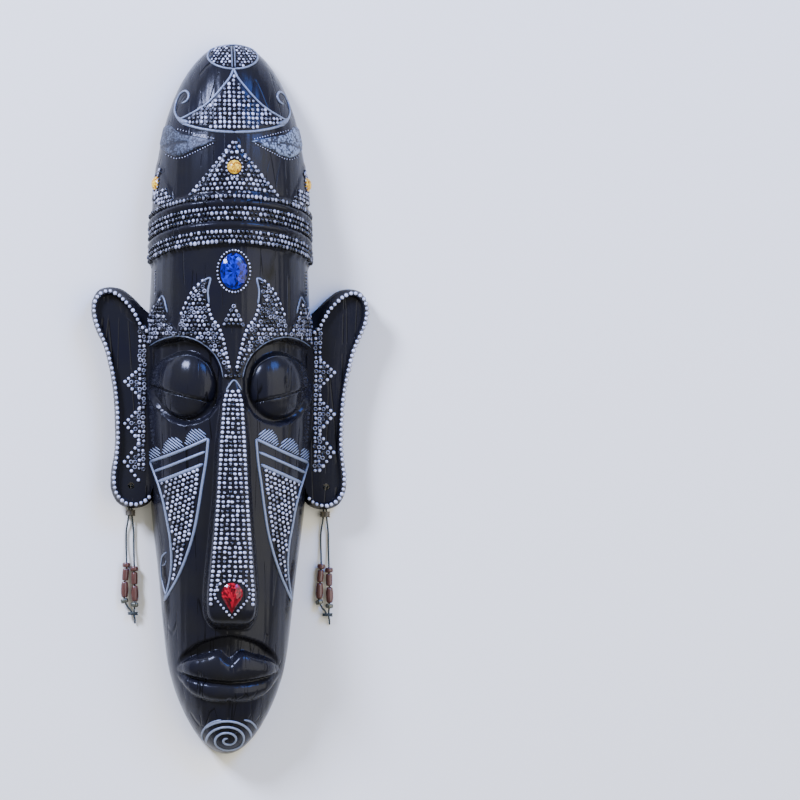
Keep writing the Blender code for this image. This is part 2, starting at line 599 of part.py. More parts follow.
def make_strand(side_name, strand, hole):
    """One cord and its four beads, each bead stacked under the one before."""
    pieces = {"cord": [make_cord(f"tassel_{side_name}_cord_{strand}", strand, hole)],
              "wood": [], "metal": []}
    bore = CORD_DIAMETER / 2 + BORE_GAP
    y = FIRST_BEAD[strand] + COLLAR_BEAD[1] / 2
    for kind, size in (("collar", COLLAR_BEAD), ("barrel", BARREL_BEAD), ("long", LONG_BEAD),
                       ("metal", METAL_BEAD)):
        name = f"tassel_{side_name}_{kind}_bead_{strand}"
        bead = turned_ring(name, size, bore, SHOULDERS[kind])
        y -= size[1] / 2
        bead.matrix_world = bead_pose(strand, hole, y)
        y -= size[1] / 2 + BEAD_GAP
        pieces["metal" if kind == "metal" else "wood"].append(bead)
    return pieces


def make_knot(name, centre, size, hole):
    """Knot drawn round both cords: a flattened ring with its bore along the cords."""
    bore = size[0] / 2 - KNOT_WIRE
    knot = turned_ring(name, size, bore, SHOULDERS["knot"])
    place = Matrix.Translation(hole + Vector(centre)) @ Matrix.Rotation(math.radians(90), 4, "X")
    knot.matrix_world = place @ Matrix.Diagonal((1, KNOT_FLATNESS, 1, 1))
    return knot


def make_finish(name, color, roughness, metallic=0.0):
    finish = bpy.data.materials.new(name)
    finish.use_nodes = True
    shader = finish.node_tree.nodes["Principled BSDF"]
    shader.inputs["Base Color"].default_value = (*color, 1.0)
    shader.inputs["Roughness"].default_value = roughness
    shader.inputs["Metallic"].default_value = metallic
    return finish


def add_boolean(target, tool, operation):
    modifier = target.modifiers.new(f"{operation.title()} {tool.name}", "BOOLEAN")
    modifier.object = tool
    modifier.operation = operation


def make_floor_cut():
    """Box whose top is the back plane: it trims the cast edge flat."""
    depth = RIM_TRIM * 4
    bpy.ops.mesh.primitive_cube_add(size=1.0)
    box = bpy.context.object
    box.name = "back_plane_cut"
    box.data.transform(Matrix.Translation((0, 0, -depth / 2))
                       @ Matrix.Diagonal((MASK_HEIGHT, MASK_HEIGHT + depth * 4, depth, 1)))
    return box


def make_lobe_hole(side_name, centre):
    bpy.ops.mesh.primitive_cylinder_add(vertices=HOLE_POINTS, radius=LOBE_HOLE / 2,
                                        depth=(EAR_BACK + EAR_THICKNESS) * 2, location=centre)
    hole = bpy.context.object
    hole.name = f"lobe_hole_{side_name}"
    return hole


def place_in(collection, pieces, finish=None):
    for piece in pieces:
        for other in list(piece.users_collection):
            other.objects.unlink(piece)
        collection.objects.link(piece)
        if finish is not None:
            piece.data.materials.append(finish)


def build_mask():
    for old in list(bpy.data.objects):
        bpy.data.objects.remove(old)
    scene_collection = bpy.context.scene.collection
    mask_parts = bpy.data.collections.new("Tribal face mask")
    cutters = bpy.data.collections.new("Mask cutters")
    scene_collection.children.link(mask_parts)
    scene_collection.children.link(cutters)

    casting = make_finish("Black cast wood", (0.022, 0.021, 0.024), 0.38)
    blue = make_finish("Blue stone", (0.003, 0.045, 0.9), 0.08)
    amber = make_finish("Amber stone", (0.87, 0.38, 0.03), 0.1)
    red = make_finish("Red stone", (0.65, 0.004, 0.02), 0.08)
    brown = make_finish("Red-brown beads", (0.2, 0.045, 0.03), 0.3)
    olive = make_finish("Dark metal", (0.06, 0.07, 0.05), 0.4, 0.6)
    thread = make_finish("Waxed cord", (0.02, 0.028, 0.022), 0.6)
    gold = make_finish("Gold thread", (0.4, 0.3, 0.15), 0.5)

    head = make_head()
    thin = head.modifiers.new("Fewer faces", "DECIMATE")
    thin.ratio = KEPT_SHARE
    ears = [make_ear("right", 1), make_ear("left", -1)]
    stones = [("forehead_stone", oval_outline, OVAL_STONE, FOREHEAD_SEAT, OVAL_POINTS, blue),
              ("nose_stone", drop_outline, DROP_STONE, NOSE_SEAT, DROP_POINTS, red)]
    for key, place in CROWN_SEATS.items():
        stones.append((f"crown_stone_{key}", oval_outline, ROUND_STONE, place, ROUND_POINTS, amber))

    lobe_x, lobe_y = LOBE_CENTRE
    lobes = {"right": Vector((lobe_x, lobe_y, 0)) * UNIT, "left": Vector((-lobe_x, lobe_y, 0)) * UNIT}
    holes = [make_lobe_hole(side_name, centre) for side_name, centre in lobes.items()]
    seats = [make_seat(name, *details) for name, *details, finish in stones]
    floor_cut = make_floor_cut()
    for ear in ears:
        add_boolean(head, ear, "UNION")
    for cutter in [floor_cut, *holes, *seats]:
        add_boolean(head, cutter, "DIFFERENCE")
    place_in(cutters, [*ears, floor_cut, *holes, *seats])
    for helper in cutters.objects:
        helper.hide_render = True
        helper.display_type = "WIRE"
    place_in(mask_parts, [head], casting)
    for name, outline, size, place, count, finish in stones:
        place_in(mask_parts, [make_stone(name, outline, size, place, count)], finish)

    for side_name, hole in lobes.items():
        for strand in CORD_ROUTES:
            pieces = make_strand(side_name, strand, hole)
            place_in(mask_parts, pieces["cord"], thread)
            place_in(mask_parts, pieces["wood"], brown)
            place_in(mask_parts, pieces["metal"], olive)
        upper = make_knot(f"tassel_{side_name}_upper_knot", UPPER_KNOT, UPPER_KNOT_SIZE, hole)
        end = make_knot(f"tassel_{side_name}_end_knot", END_KNOT, END_KNOT_SIZE, hole)
        place_in(mask_parts, [upper], gold)
        place_in(mask_parts, [end], thread)


build_mask()
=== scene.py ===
"""Looks of the carved tribal face mask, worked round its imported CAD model.

The casting, its beads, painted lines, stones and tassels are surfaces computed on numpy grids. The
form of the head is drawn in carving units, as in the CAD: the mask is DRAWN_HEIGHT units tall, +Y
runs from chin to crown, +X to the right and +Z out of the face.
"""
import math

import bmesh
import bpy
import numpy as np
from mathutils import Matrix, Vector


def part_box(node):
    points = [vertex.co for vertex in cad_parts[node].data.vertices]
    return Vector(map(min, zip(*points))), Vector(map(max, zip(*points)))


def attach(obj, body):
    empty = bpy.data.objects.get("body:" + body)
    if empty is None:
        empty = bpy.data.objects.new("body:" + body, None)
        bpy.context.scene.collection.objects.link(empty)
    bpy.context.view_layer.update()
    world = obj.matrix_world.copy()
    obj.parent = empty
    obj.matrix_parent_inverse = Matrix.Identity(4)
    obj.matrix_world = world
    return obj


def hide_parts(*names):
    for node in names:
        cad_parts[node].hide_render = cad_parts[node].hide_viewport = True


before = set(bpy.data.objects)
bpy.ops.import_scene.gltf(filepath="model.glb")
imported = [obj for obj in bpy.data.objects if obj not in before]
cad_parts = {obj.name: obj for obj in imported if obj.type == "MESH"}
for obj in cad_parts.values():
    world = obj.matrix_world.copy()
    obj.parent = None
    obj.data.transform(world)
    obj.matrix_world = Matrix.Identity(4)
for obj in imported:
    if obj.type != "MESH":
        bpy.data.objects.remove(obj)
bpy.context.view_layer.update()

# Sizes of the real pieces, in metres, as in the CAD
WALL = 0.0065
EAR_BACK = 0.0045
EAR_THICKNESS = 0.0105
LOBE_HOLE = 0.0036
DRILL_REACH = 0.02
OVAL_STONE = (0.015, 0.020)
ROUND_STONE = (0.0078, 0.0078)
DROP_STONE = (0.0118, 0.0168)
STONE_GIRDLE = 0.0016
STONE_CROWN = 0.0021
SEAT_DEPTH = 0.0014
FIT_GAP = 0.0003
CORD_DIAMETER = 0.0011
BORE_GAP = 0.0003
COLLAR_BEAD = (0.0046, 0.0027)
BARREL_BEAD = (0.0038, 0.0068)
LONG_BEAD = (0.0043, 0.0088)
METAL_BEAD = (0.0044, 0.0025)
BEAD_GAP = 0.0005
KNOT_WIRE = 0.0009
KNOT_FLATNESS = 0.70

# Each cord's beads from the top: kind, size, bulge of the side, share of the radius, petals, finish
CORD_BEADS = (("collar", COLLAR_BEAD, 0.2, 0.97, 0.0, "brown_bead"),
              ("barrel", BARREL_BEAD, 0.16, 0.97, 0.0, "brown_bead"),
              ("long", LONG_BEAD, 0.34, 0.97, 0.0, "brown_bead"),
              ("metal", METAL_BEAD, 0.25, 0.88, 0.10, "metal_bead"))

# The cords' surface, in metres: sides, steps along the route, lay of the three strands, rounded end
CORD_SIDES = 12
CORD_STEP = 0.00032
STRANDS = 3
STRAND_LAY = 0.0042
CORD_END = 0.0005
KNOT_SIDES = 10
KNOT_STEPS = 26
PETALS = 8

# The drawing of the mask, in carving units
DRAWN_HEIGHT = 391.0
MASK_LOW, MASK_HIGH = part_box("mask")
UNIT = (MASK_HIGH[1] - MASK_LOW[1]) / DRAWN_HEIGHT
HALF_HEIGHT = DRAWN_HEIGHT / 2
RIM_STRAIGHT = 1.0
ROUND_ALONG = 0.70
ROUND_ACROSS = 0.85
BAND_DROP = 12.0

HEAD_WIDTHS = ((-195.5, 49.0), (-150, 49.0), (-128, 45.9), (-106, 43.9), (-62, 44.2), (0, 46.2),
               (50, 45.6), (84, 47.2), (110, 50.8), (132, 53.2), (158, 56.4), (176, 57.8), (195.5, 58))
HEAD_DEPTHS = ((-195.5, 50.0), (-140, 47.0), (-60, 44.0), (0, 43.0), (60, 46.0), (120, 47.0),
               (195.5, 46.0))

# Eyes, on the right half
SOCKET = ((46.5, 22), (44.5, 28.5), (39, 31.8), (30, 34), (20, 31.8), (15, 28.8), (10, 24),
          (6.5, 17.5), (5.2, 11.5), (5.5, 3), (8, -4.5), (12, -10), (18, -13.5), (26, -15),
          (33, -13), (40, -7.5), (45, 2), (47, 12))
SOCKET_DEPTH = 6.0
SOCKET_EDGE = 2.4
SOCKET_FADE = (34.0, 47.0)
SOCKET_LOST = 0.75
EYE_CENTRE = (28.2, 7.4)
EYE_RADII = (18.2, 18.4)
EYE_SWELL = 9.0
LID_LINE = ((9.5, -3.2), (17, -0.6), (26, 1.6), (35, 4.2), (43.5, 6.8))
LID_CUT = (1.6, 1.1)
LID_STEP = 1.3
LID_SLOPE = 0.8
LID_ENDS = (0.3, 2.0)
LOWER_LID = (-14.0, -3.0)

# Nose: stations of y with half width of the flat top, half width of the foot, and height
NOSE_TOP = ((-126, 4.5), (-120, 7.6), (-112, 8.6), (-90, 8.1), (-60, 6.9), (-30, 5.8), (-10, 5),
            (0, 4.2), (5, 2.8), (10, 1.2))
NOSE_FOOT = ((-126, 11.5), (-120, 14.4), (-112, 15.4), (-90, 14.4), (-75, 13), (-50, 11),
             (-20, 9.5), (0, 6.6), (10, 3))
NOSE_HEIGHT = ((-126, 13.5), (-105, 13.2), (-80, 11.8), (-50, 9.4), (-20, 6.3), (0, 3), (10, 0.4))
NOSE_START = (12.0, 3.0)
NOSE_TIP = (-113.0, 13.0)
TIP_ROUND = 0.72

# Mouth, on the right half
LIP_FOLD = ((0, -129), (11, -131.2), (21, -135.7), (27, -142), (30, -148))
LIP_TOP = ((0, -143.8), (2, -142.8), (4.6, -140.3), (15, -141.3), (25, -144.2), (30, -149))
LIP_LINE = ((0, -155.7), (10, -154.9), (20, -152.8), (30, -149))
LIP_FOOT = ((0, -166), (12, -165), (20, -161.5), (26, -155), (30, -149.5))
MOUTH_HALF_WIDTH = 29.0
MOUTH_TAPER = 0.66
FOLD_DEPTH = 5.0
FOLD_SLOPES = ((0.0, 1.6), (-1.0, 1.2))
UPPER_LIP = (3.6, 0.6)
LOWER_LIP = (3.0, 0.7)
LIP_GAP = (2.6, 1.5)
LEAST_LIP = 0.2
CLEFT = ((0, -175), (0, -164))
CLEFT_CUT = (2.0, 0.6)

# Crown and its bands: the height of each ring where it crosses the front
CROWN_EDGE = 84.3
CROWN_STEP = 1.7
CROWN_SLOPE = 0.6
CROWN_TOP = (111.5, 113.5)
CROWN_EASE = 0.5
BAND_CORDS = (95.2, 107.4)
BAND_CORD = (3.4, 1.2)
BEAD_ROWS = (86.0, 88.6, 91.4, 98.6, 101.4, 104.2, 110.6)

# Raised fields and drawn lines on the right half
BROW_PANEL = ((0, 10), (0, 17), (2.7, 19), (4, 25), (5.8, 33), (8, 39.3), (12, 44), (14.5, 51),
              (14.2, 59), (13.2, 67), (18, 64), (22.5, 59), (25.5, 53), (28, 47.5), (30.3, 37.5),
              (32.5, 40.5), (35, 45.5), (35.8, 51), (38, 57), (41.5, 51), (43.8, 45.5), (46.5, 41),
              (48.5, 36), (45, 29), (39, 32.2), (30, 34.4), (20, 32.2), (15, 29.2), (10, 24.4),
              (6.5, 18), (5, 12))
CENTRE_FLAME = ((-3, 39), (0, 53), (2.5, 46), (6, 39))
CROWN_TRIANGLE = ((-5, 109), (0.0, 140), (23.5, 109))
SIDE_TRIANGLE = ((40.5, 133), (30.5, 108), (48, 108), (48, 133))
CURVED_TRIANGLE = ((0, 179), (5, 172), (10, 166), (15, 161), (20, 157.5), (25, 154.7), (28, 153.7),
                   (31, 155), (28, 151), (20, 148.2), (10, 146.4), (0, 145.8), (-5, 146), (-5, 176))
LEAF = ((9.5, 141), (20, 143.5), (30, 146), (34, 150), (38, 148), (39.5, 141), (37, 138),
        (35, 134.5), (31, 132.3), (28, 132.5), (20, 136.3))
PANEL_STEP = 0.5
PANEL_EDGE = 0.8
TRIANGLE_SIDE = ((0, 181), (2, 176), (5, 172), (10, 166), (15, 161), (20, 157.5), (25, 154.7),
                 (28, 153.7), (31, 155.4), (32.4, 160), (31, 164.5), (28.3, 168.8), (26, 169.8),
                 (24.5, 168), (25.2, 165), (27, 162.3), (28.6, 161.7))
TRIANGLE_FOOT = ((31, 154.8), (28, 151), (20, 148.2), (10, 146.4), (0, 145.8))
CHEEK_OUTLINE = ((43.5, -34.8), (28, -28.6), (13, -21.8), (14, -33), (16, -46), (18, -60),
                 (20.3, -73), (24.3, -87), (28.5, -98), (35, -111), (33.3, -103.5), (32, -95),
                 (32.3, -80), (34.3, -68), (36.8, -55.5), (40, -45), (43.5, -34.8))
CHEEK_BARS = (((14.7, -29), (41.5, -40.2)), ((15.8, -35.7), (39.5, -45.7)))
CHEEK_SCALLOPS = (((13.2, -21.4), (14.6, -18.6), (17, -16.6), (19.8, -15.9), (22.6, -16.8),
                   (24.8, -19.6), (26, -23.4), (26, -26.6)),
                  ((26, -26.6), (26.8, -23.6), (28.8, -21.5), (31.8, -20.7), (34.6, -21.8),
                   (36.8, -24.6), (37.8, -28.4), (37.8, -31.6)),
                  ((37.8, -31.6), (38.4, -28.6), (39.8, -26.8), (41.8, -26.3), (43.6, -27.8),
                   (44.8, -31), (45, -34.4)))
CROWN_MEDALLION = (187.6, 13.2, 7.2)
CHIN_CENTRE = (0.0, -187.3)
CHIN_SPIRAL_PITCH = 4.5
CHIN_SPIRAL_TURNS = 3.4
CHIN_SPIRAL_LEAN = 0.72
CHIN_EDGE = -193.4
ENDS_FADE = 0.975

# Where the plain hollow gives way behind the sunk work: place, reach and depth
EYE_HOLLOW = (15.0, 18.0, 4.5)
MOUTH_HOLLOW = (-138.0, 17.0, 12.0, 4.0)

# The right ear: the cast edge, and the beaded rim that stands inside it
EAR_EDGE = ((40, 44), (46, 48), (53, 55), (60, 60), (66, 61), (72, 59.5), (75.6, 54), (76.2, 47),
            (73.5, 37), (70, 30), (66.5, 18), (64, 4), (62.9, -12), (62.9, -29), (64.7, -41),
            (64.4, -51), (60.5, -58), (53, -60.5), (44, -58), (40, -50), (40, -20), (40, 20))
EAR_RIM = ((42, 33), (48.5, 38), (54, 48), (60, 54.6), (66, 58.2), (71, 57.2), (74, 53), (74.3, 47),
           (71.8, 38), (68.2, 30), (64.8, 18), (62.2, 4), (61.2, -12), (61.2, -29), (62.8, -41),
           (62.6, -50), (59.4, -56), (53, -58.3), (45, -55.5), (41.5, -48), (41.5, -20), (41.5, 15))
EAR_SPINE = ((46, -46), (60, 46))
EAR_DISH = 3.2
EAR_BACK_SHARES = (0.02, 0.5, 0.9, 0.97)
EAR_ROUNDING = ((0.992, 0.35), (1.0, 1.2))
EAR_EDGE_LIFTS = (0.2, 0.4, 0.6, 0.8, 0.95)
EAR_EDGE_SHORT = 2.2
EAR_FRONT_SHARES = (0.995, 0.98, 0.96, 0.94, 0.92, 0.90, 0.88, 0.86, 0.8, 0.7, 0.55, 0.4, 0.2, 0.02)
EAR_MARKS_FROM = 2.0
LOBE_CENTRE = (53.7, -48.0)

# Where the stones sit: share of the head's half width at that height, and height
FOREHEAD_SEAT = (0.0, 69.8)
CROWN_SEATS = {"centre": (0.0, 126.6), "right": (0.975, 118.0), "left": (-0.975, 118.0)}
NOSE_SEAT = (0.0, -107.6)
TIP_CLEARANCE = 1.6

# Tassel routes in metres, from the middle of the lobe hole in x and y, as in the CAD
CORD_ROUTES = {
    "a": ((-0.00085, 0.0, 0.0110), (-0.00085, 0.0, 0.0066), (-0.00085, -0.0009, 0.0040),
          (-0.00085, -0.0033, 0.0024), (-0.0008, -0.0085, 0.0020), (-0.0008, -0.0152, 0.0020),
          (-0.0012, -0.0192, 0.0015), (-0.0020, -0.0245, 0.0008), (-0.0021, -0.0320, 0.0007),
          (-0.0019, -0.0385, 0.0014), (-0.0019, -0.0439, 0.0025), (-0.0024, -0.0494, 0.0025),
          (-0.0028, -0.0580, 0.0025), (-0.0027, -0.0640, 0.0025), (-0.0018, -0.0656, 0.0023),
          (-0.0008, -0.0672, 0.0020), (0.0005, -0.0686, 0.0021), (0.0010, -0.0700, 0.0021),
          (0.0011, -0.0716, 0.0021)),
    "b": ((0.00085, 0.0, 0.0110), (0.00085, 0.0, 0.0066), (0.00085, -0.0009, 0.0040),
          (0.00085, -0.0033, 0.0024), (0.0008, -0.0085, 0.0020), (0.0008, -0.0152, 0.0020),
          (0.0012, -0.0192, 0.0015), (0.0019, -0.0245, 0.0008), (0.0021, -0.0320, 0.0007),
          (0.0023, -0.0400, 0.0014), (0.0025, -0.0469, 0.0025), (0.0026, -0.0527, 0.0025),
          (0.0029, -0.0610, 0.0025), (0.0027, -0.0670, 0.0024), (0.0025, -0.0696, 0.0021),
          (0.0025, -0.0716, 0.0021), (0.0030, -0.0737, 0.0010), (0.0031, -0.0762, 0.0006)),
}
FIRST_BEAD = {"a": -0.0439, "b": -0.0460}
UPPER_KNOT = (0.0, -0.0152, 0.0020)
UPPER_KNOT_SIZE = (0.0054, 0.0034)
END_KNOT = (0.0018, -0.0706, 0.0021)
END_KNOT_SIZE = (0.0056, 0.0020)

# Fineness of the computed surfaces
HEAD_ROWS = 440
HEAD_COLUMNS = 186
ROW_CROWDING = ((-90, 1.0), (-64, 1.0), (-60, 1.7), (-40, 1.7), (-36, 1.0), (-10, 1.1), (-7, 2.6),
                (12, 2.6), (15, 1.1), (24, 1.1), (26, 1.9), (36, 1.9), (40, 1.0), (90, 0.8))
INNER_COLUMNS = 20
EAR_POINTS = 150
LINE_STEP = 0.7
LEAF_COLUMNS = 48
LEAF_ROWS = 16
SEAM_REACH = 1e-6
LEAST_EDGE = 1e-7
CHANCE = np.random.default_rng(7)


def smooth_step(value, low, high):
    """0 below low, 1 above high, and a smooth S between them."""
    t = np.clip((value - low) / (high - low), 0.0, 1.0)
    return t * t * (3.0 - 2.0 * t)


def smooth_curve(value, stations):
    """The smooth curve through (place, value) stations: a cubic in each span, with the slope at a
    station taken from its two neighbours."""
    places, heights = np.array(stations, dtype=float).T
    slopes = np.gradient(heights, places)
    value = np.clip(value, places[0], places[-1])
    span_index = np.clip(np.searchsorted(places, value) - 1, 0, len(places) - 2)
    span = places[span_index + 1] - places[span_index]
    t = (value - places[span_index]) / span
    low = heights[span_index]
    high = heights[span_index + 1]
    low_slope = slopes[span_index] * span
    high_slope = slopes[span_index + 1] * span
    return ((2 * t**3 - 3 * t**2 + 1) * low + (t**3 - 2 * t**2 + t) * low_slope
            + (3 * t**2 - 2 * t**3) * high + (t**3 - t**2) * high_slope)


def smooth_path(points, count):
    """Points at even steps along the smooth curve through a list of points."""
    points = np.array(points, dtype=float)
    along = np.concatenate(([0.0], np.cumsum(np.linalg.norm(np.diff(points, axis=0), axis=1))))
    steps = np.linspace(0.0, along[-1], count)
    return np.stack([smooth_curve(steps, np.stack([along, column], axis=1))
                     for column in points.T], axis=1)


def line_distance(x, y, points):
    """Distance from each place to the nearest stretch of a line through points."""
    nearest = np.full(np.shape(x), np.inf)
    for (x0, y0), (x1, y1) in zip(points[:-1], points[1:]):
        run_x, run_y = x1 - x0, y1 - y0
        square = max(run_x**2 + run_y**2, 1e-12)
        share = np.clip(((x - x0) * run_x + (y - y0) * run_y) / square, 0.0, 1.0)
        nearest = np.minimum(nearest, np.hypot(x - x0 - share * run_x, y - y0 - share * run_y))
    return nearest


def depth_inside(x, y, outline):
    """Distance to a closed outline, positive inside it and negative outside."""
    inside = np.zeros(np.shape(x), dtype=bool)
    closed = list(outline) + [outline[0]]
    for (x0, y0), (x1, y1) in zip(closed[:-1], closed[1:]):
        if y0 == y1:
            continue
        crosses = (y0 > y) != (y1 > y)
        inside ^= crosses & (x < x0 + (y - y0) * (x1 - x0) / (y1 - y0))
    distance = line_distance(x, y, closed)
    return np.where(inside, distance, -distance)


def ridge(distance, width, height):
    """Half-round bead of the given width and height over the line it follows."""
    return height * np.sqrt(np.clip(1.0 - (2.0 * distance / width) ** 2, 0.0, 1.0))


def head_form(theta, phi, inset=0.0):
    """Smooth head: theta runs round from one side to the other and phi from chin to crown. The
    width and depth at each height come from the stations and round off towards both ends."""
    drawn_y = HALF_HEIGHT * np.sin(phi)
    width = (smooth_curve(drawn_y, HEAD_WIDTHS) - inset) * np.cos(phi)
    depth = (smooth_curve(drawn_y, HEAD_DEPTHS) - inset) * np.abs(np.cos(phi)) ** ROUND_ALONG
    x = width * np.sin(theta)
    y = (HALF_HEIGHT - inset) * np.sin(phi)
    z = RIM_STRAIGHT + depth * np.abs(np.cos(theta)) ** ROUND_ACROSS
    return np.stack([x, y, z], axis=-1)


def eye_relief(side, y):
    """Sunk socket with a swelling closed eye and the cut between its lids."""
    fade = 1.0 - SOCKET_LOST * smooth_step(side, *SOCKET_FADE)
    relief = -SOCKET_DEPTH * fade * smooth_step(depth_inside(side, y, SOCKET), 0.0, SOCKET_EDGE)
    reach = ((side - EYE_CENTRE[0]) / EYE_RADII[0]) ** 2 + ((y - EYE_CENTRE[1]) / EYE_RADII[1]) ** 2
    eye = EYE_SWELL * np.sqrt(np.clip(1.0 - reach, 0.0, 1.0)) * fade
    lid = smooth_curve(side, LID_LINE)
    on_eye = smooth_step(eye, *LID_ENDS)
    below = smooth_step(lid - y, 0.0, LID_SLOPE) * smooth_step(y - lid, *LOWER_LID)
    cut = ridge(np.abs(y - lid), *LID_CUT)
    return relief + eye - on_eye * (cut + LID_STEP * below)


def nose_relief(side, y):
    """Long wedge with a flat top that grows down to a blunt tip."""
    top = smooth_curve(y, NOSE_TOP)
    foot = smooth_curve(y, NOSE_FOOT)
    start, slope = NOSE_START
    height = smooth_curve(y, NOSE_HEIGHT) * smooth_step(start - y, 0.0, slope)
    under = np.clip((NOSE_TIP[0] - y) / NOSE_TIP[1], 0.0, 1.0)
    height = height * (1.0 - under**2) ** TIP_ROUND
    return height * (1.0 - smooth_step(side, top, foot))


def mouth_relief(side, y):
    """Arched fold, the sunk strip under it, two lips and the gap between them."""
    fold = smooth_curve(side, LIP_FOLD)
    top = smooth_curve(side, LIP_TOP)
    line = smooth_curve(side, LIP_LINE)
    foot = smooth_curve(side, LIP_FOOT)
    ends = 1.0 - smooth_step(side, MOUTH_TAPER * MOUTH_HALF_WIDTH, MOUTH_HALF_WIDTH)
    sunk = smooth_step(fold - y, *FOLD_SLOPES[0]) * smooth_step(y - top, *FOLD_SLOPES[1])
    upper = np.clip((y - line) / np.maximum(top - line, LEAST_LIP), 0.0, 1.0)
    lower = np.clip((y - foot) / np.maximum(line - foot, LEAST_LIP), 0.0, 1.0)
    relief = (-FOLD_DEPTH * sunk + UPPER_LIP[0] * np.sin(np.pi * upper) ** UPPER_LIP[1]
              + LOWER_LIP[0] * np.sin(np.pi * lower) ** LOWER_LIP[1])
    relief = (relief - ridge(np.abs(y - line), *LIP_GAP)) * ends
    return relief - ridge(line_distance(side, y, CLEFT), *CLEFT_CUT)


def ring_height(y, theta):
    """Height at which the ring through a place crosses the front: the bands lean, so they fall
    by BAND_DROP on their way to the sides."""
    return y + BAND_DROP * (1.0 - np.abs(np.cos(theta)))


def crown_relief(y, theta):
    """Step of the crown over the forehead, with its round cords."""
    ring = ring_height(y, theta)
    relief = CROWN_STEP * smooth_step(ring, CROWN_EDGE - CROWN_SLOPE, CROWN_EDGE + CROWN_SLOPE)
    relief = relief - CROWN_STEP * CROWN_EASE * smooth_step(ring, *CROWN_TOP)
    for height in BAND_CORDS:
        relief = relief + ridge(np.abs(ring - height), *BAND_CORD)
    return relief


def chisel_marks(x, y):
    """Long shallow waves left by the carver's blade, running up and down the wood."""
    waves = 0.07 * np.sin(x * 0.83 + 1.3 * np.sin(y * 0.021)) * np.sin(y * 0.043 + 0.7 * x)
    return waves + 0.02 * np.sin(x * 2.1 + 0.8 * np.sin(y * 0.055 + 1.7))


def carved_relief(x, y, theta):
    """How far the carving stands out of the smooth head at each place. It dies away where the
    chin and the crown turn under, so the mask keeps its height."""
    side = np.abs(x)
    relief = eye_relief(side, y) + nose_relief(side, y) + mouth_relief(side, y)
    raised = np.zeros(np.shape(x))
    for outline in (BROW_PANEL, CENTRE_FLAME, CROWN_TRIANGLE, SIDE_TRIANGLE, CURVED_TRIANGLE, LEAF):
        inside = smooth_step(depth_inside(side, y, outline), 0.0, PANEL_EDGE)
        raised = np.maximum(raised, PANEL_STEP * inside)
    relief = relief + raised + crown_relief(y, theta) + chisel_marks(x, y)
    return relief * (1.0 - smooth_step(np.abs(y) / HALF_HEIGHT, ENDS_FADE, 1.0))


def unit_rows(vectors):
    """Vectors brought to unit length."""
    return vectors / np.maximum(np.linalg.norm(vectors, axis=-1, keepdims=True), 1e-9)


def carved_point(theta, phi):
    """Points of the carved surface: the smooth head moved along its normal by the relief. The
    normal is the cross product of the two directions of a short central difference."""
    tick = 1e-4
    point = head_form(theta, phi)
    across = head_form(theta + tick, phi) - head_form(theta - tick, phi)
    up = head_form(theta, phi + tick) - head_form(theta, phi - tick)
    normal = unit_rows(np.cross(across, up))
    relief = carved_relief(point[..., 0], point[..., 1], theta)
    return point + normal * relief[..., None]


def carved_frame(theta, phi):
    """Points of the carved surface and its normals, from differences about half a unit wide."""
    reach_theta, reach_phi = 0.011, 0.0028
    across = carved_point(theta + reach_theta, phi) - carved_point(theta - reach_theta, phi)
    up = carved_point(theta, phi + reach_phi) - carved_point(theta, phi - reach_phi)
    return carved_point(theta, phi), unit_rows(np.cross(across, up))


def head_place(x, y):
    """The head's theta and phi at places seen from the front."""
    phi = np.arcsin(np.clip(np.asarray(y) / HALF_HEIGHT, -0.9995, 0.9995))
    width = smooth_curve(HALF_HEIGHT * np.sin(phi), HEAD_WIDTHS) * np.cos(phi)
    return np.arcsin(np.clip(np.asarray(x) / width, -0.995, 0.995)), phi


def half_width(y):
    """Half width of the head at a height."""
    return float(smooth_curve(y, HEAD_WIDTHS)) * math.cos(math.asin(y / HALF_HEIGHT))


def seat_place(key):
    """Where a crown stone sits, seen from the front."""
    share, y = CROWN_SEATS[key]
    return share * half_width(y), y


def make_mesh(name, points, faces, smooth=True):
    """Mesh object from points in metres and a list of face arrays, one per number of corners."""
    mesh = bpy.data.meshes.new(name)
    corners = np.concatenate([np.asarray(group).ravel() for group in faces]).astype(np.int32)
    sizes = np.concatenate([np.full(len(group), np.shape(group)[1]) for group in faces])
    starts = np.concatenate(([0], np.cumsum(sizes)[:-1])).astype(np.int32)
    mesh.vertices.add(len(points))
    mesh.vertices.foreach_set("co", np.asarray(points, dtype=np.float32).ravel())
    mesh.loops.add(len(corners))
    mesh.loops.foreach_set("vertex_index", corners)
    mesh.polygons.add(len(starts))
    mesh.polygons.foreach_set("loop_start", starts)
    mesh.polygons.foreach_set("use_smooth", np.full(len(starts), smooth))
    mesh.update(calc_edges=True)
    mesh.validate()
    piece = bpy.data.objects.new(name, mesh)
    bpy.context.scene.collection.objects.link(piece)
    return piece


def turn_outward(piece, merge=False):
    """Turns a piece's faces outward. Merge first joins the points that coincide at its seams and
    poles."""
    work = bmesh.new()
    work.from_mesh(piece.data)
    if merge:
        bmesh.ops.remove_doubles(work, verts=work.verts, dist=SEAM_REACH)
        bmesh.ops.dissolve_degenerate(work, edges=work.edges, dist=LEAST_EDGE)
    bmesh.ops.recalc_face_normals(work, faces=work.faces)
    work.to_mesh(piece.data)
    work.free()


def tube_faces(rows, columns, closed_rows=False):
    """Quads of a run of closed sections, as an array of corner numbers."""
    row, column = np.meshgrid(np.arange(rows if closed_rows else rows - 1), np.arange(columns),
                              indexing="ij")
    after_row = (row + 1) % rows
    after_column = (column + 1) % columns
    return np.stack([row * columns + column, row * columns + after_column,
                     after_row * columns + after_column, after_row * columns + column],
                    axis=-1).reshape(-1, 4)


def end_caps(sections, count):
    """Corner numbers of the two faces that close a run of sections of count points each."""
    return np.array([np.arange(count), (sections - 1) * count + np.arange(count)])


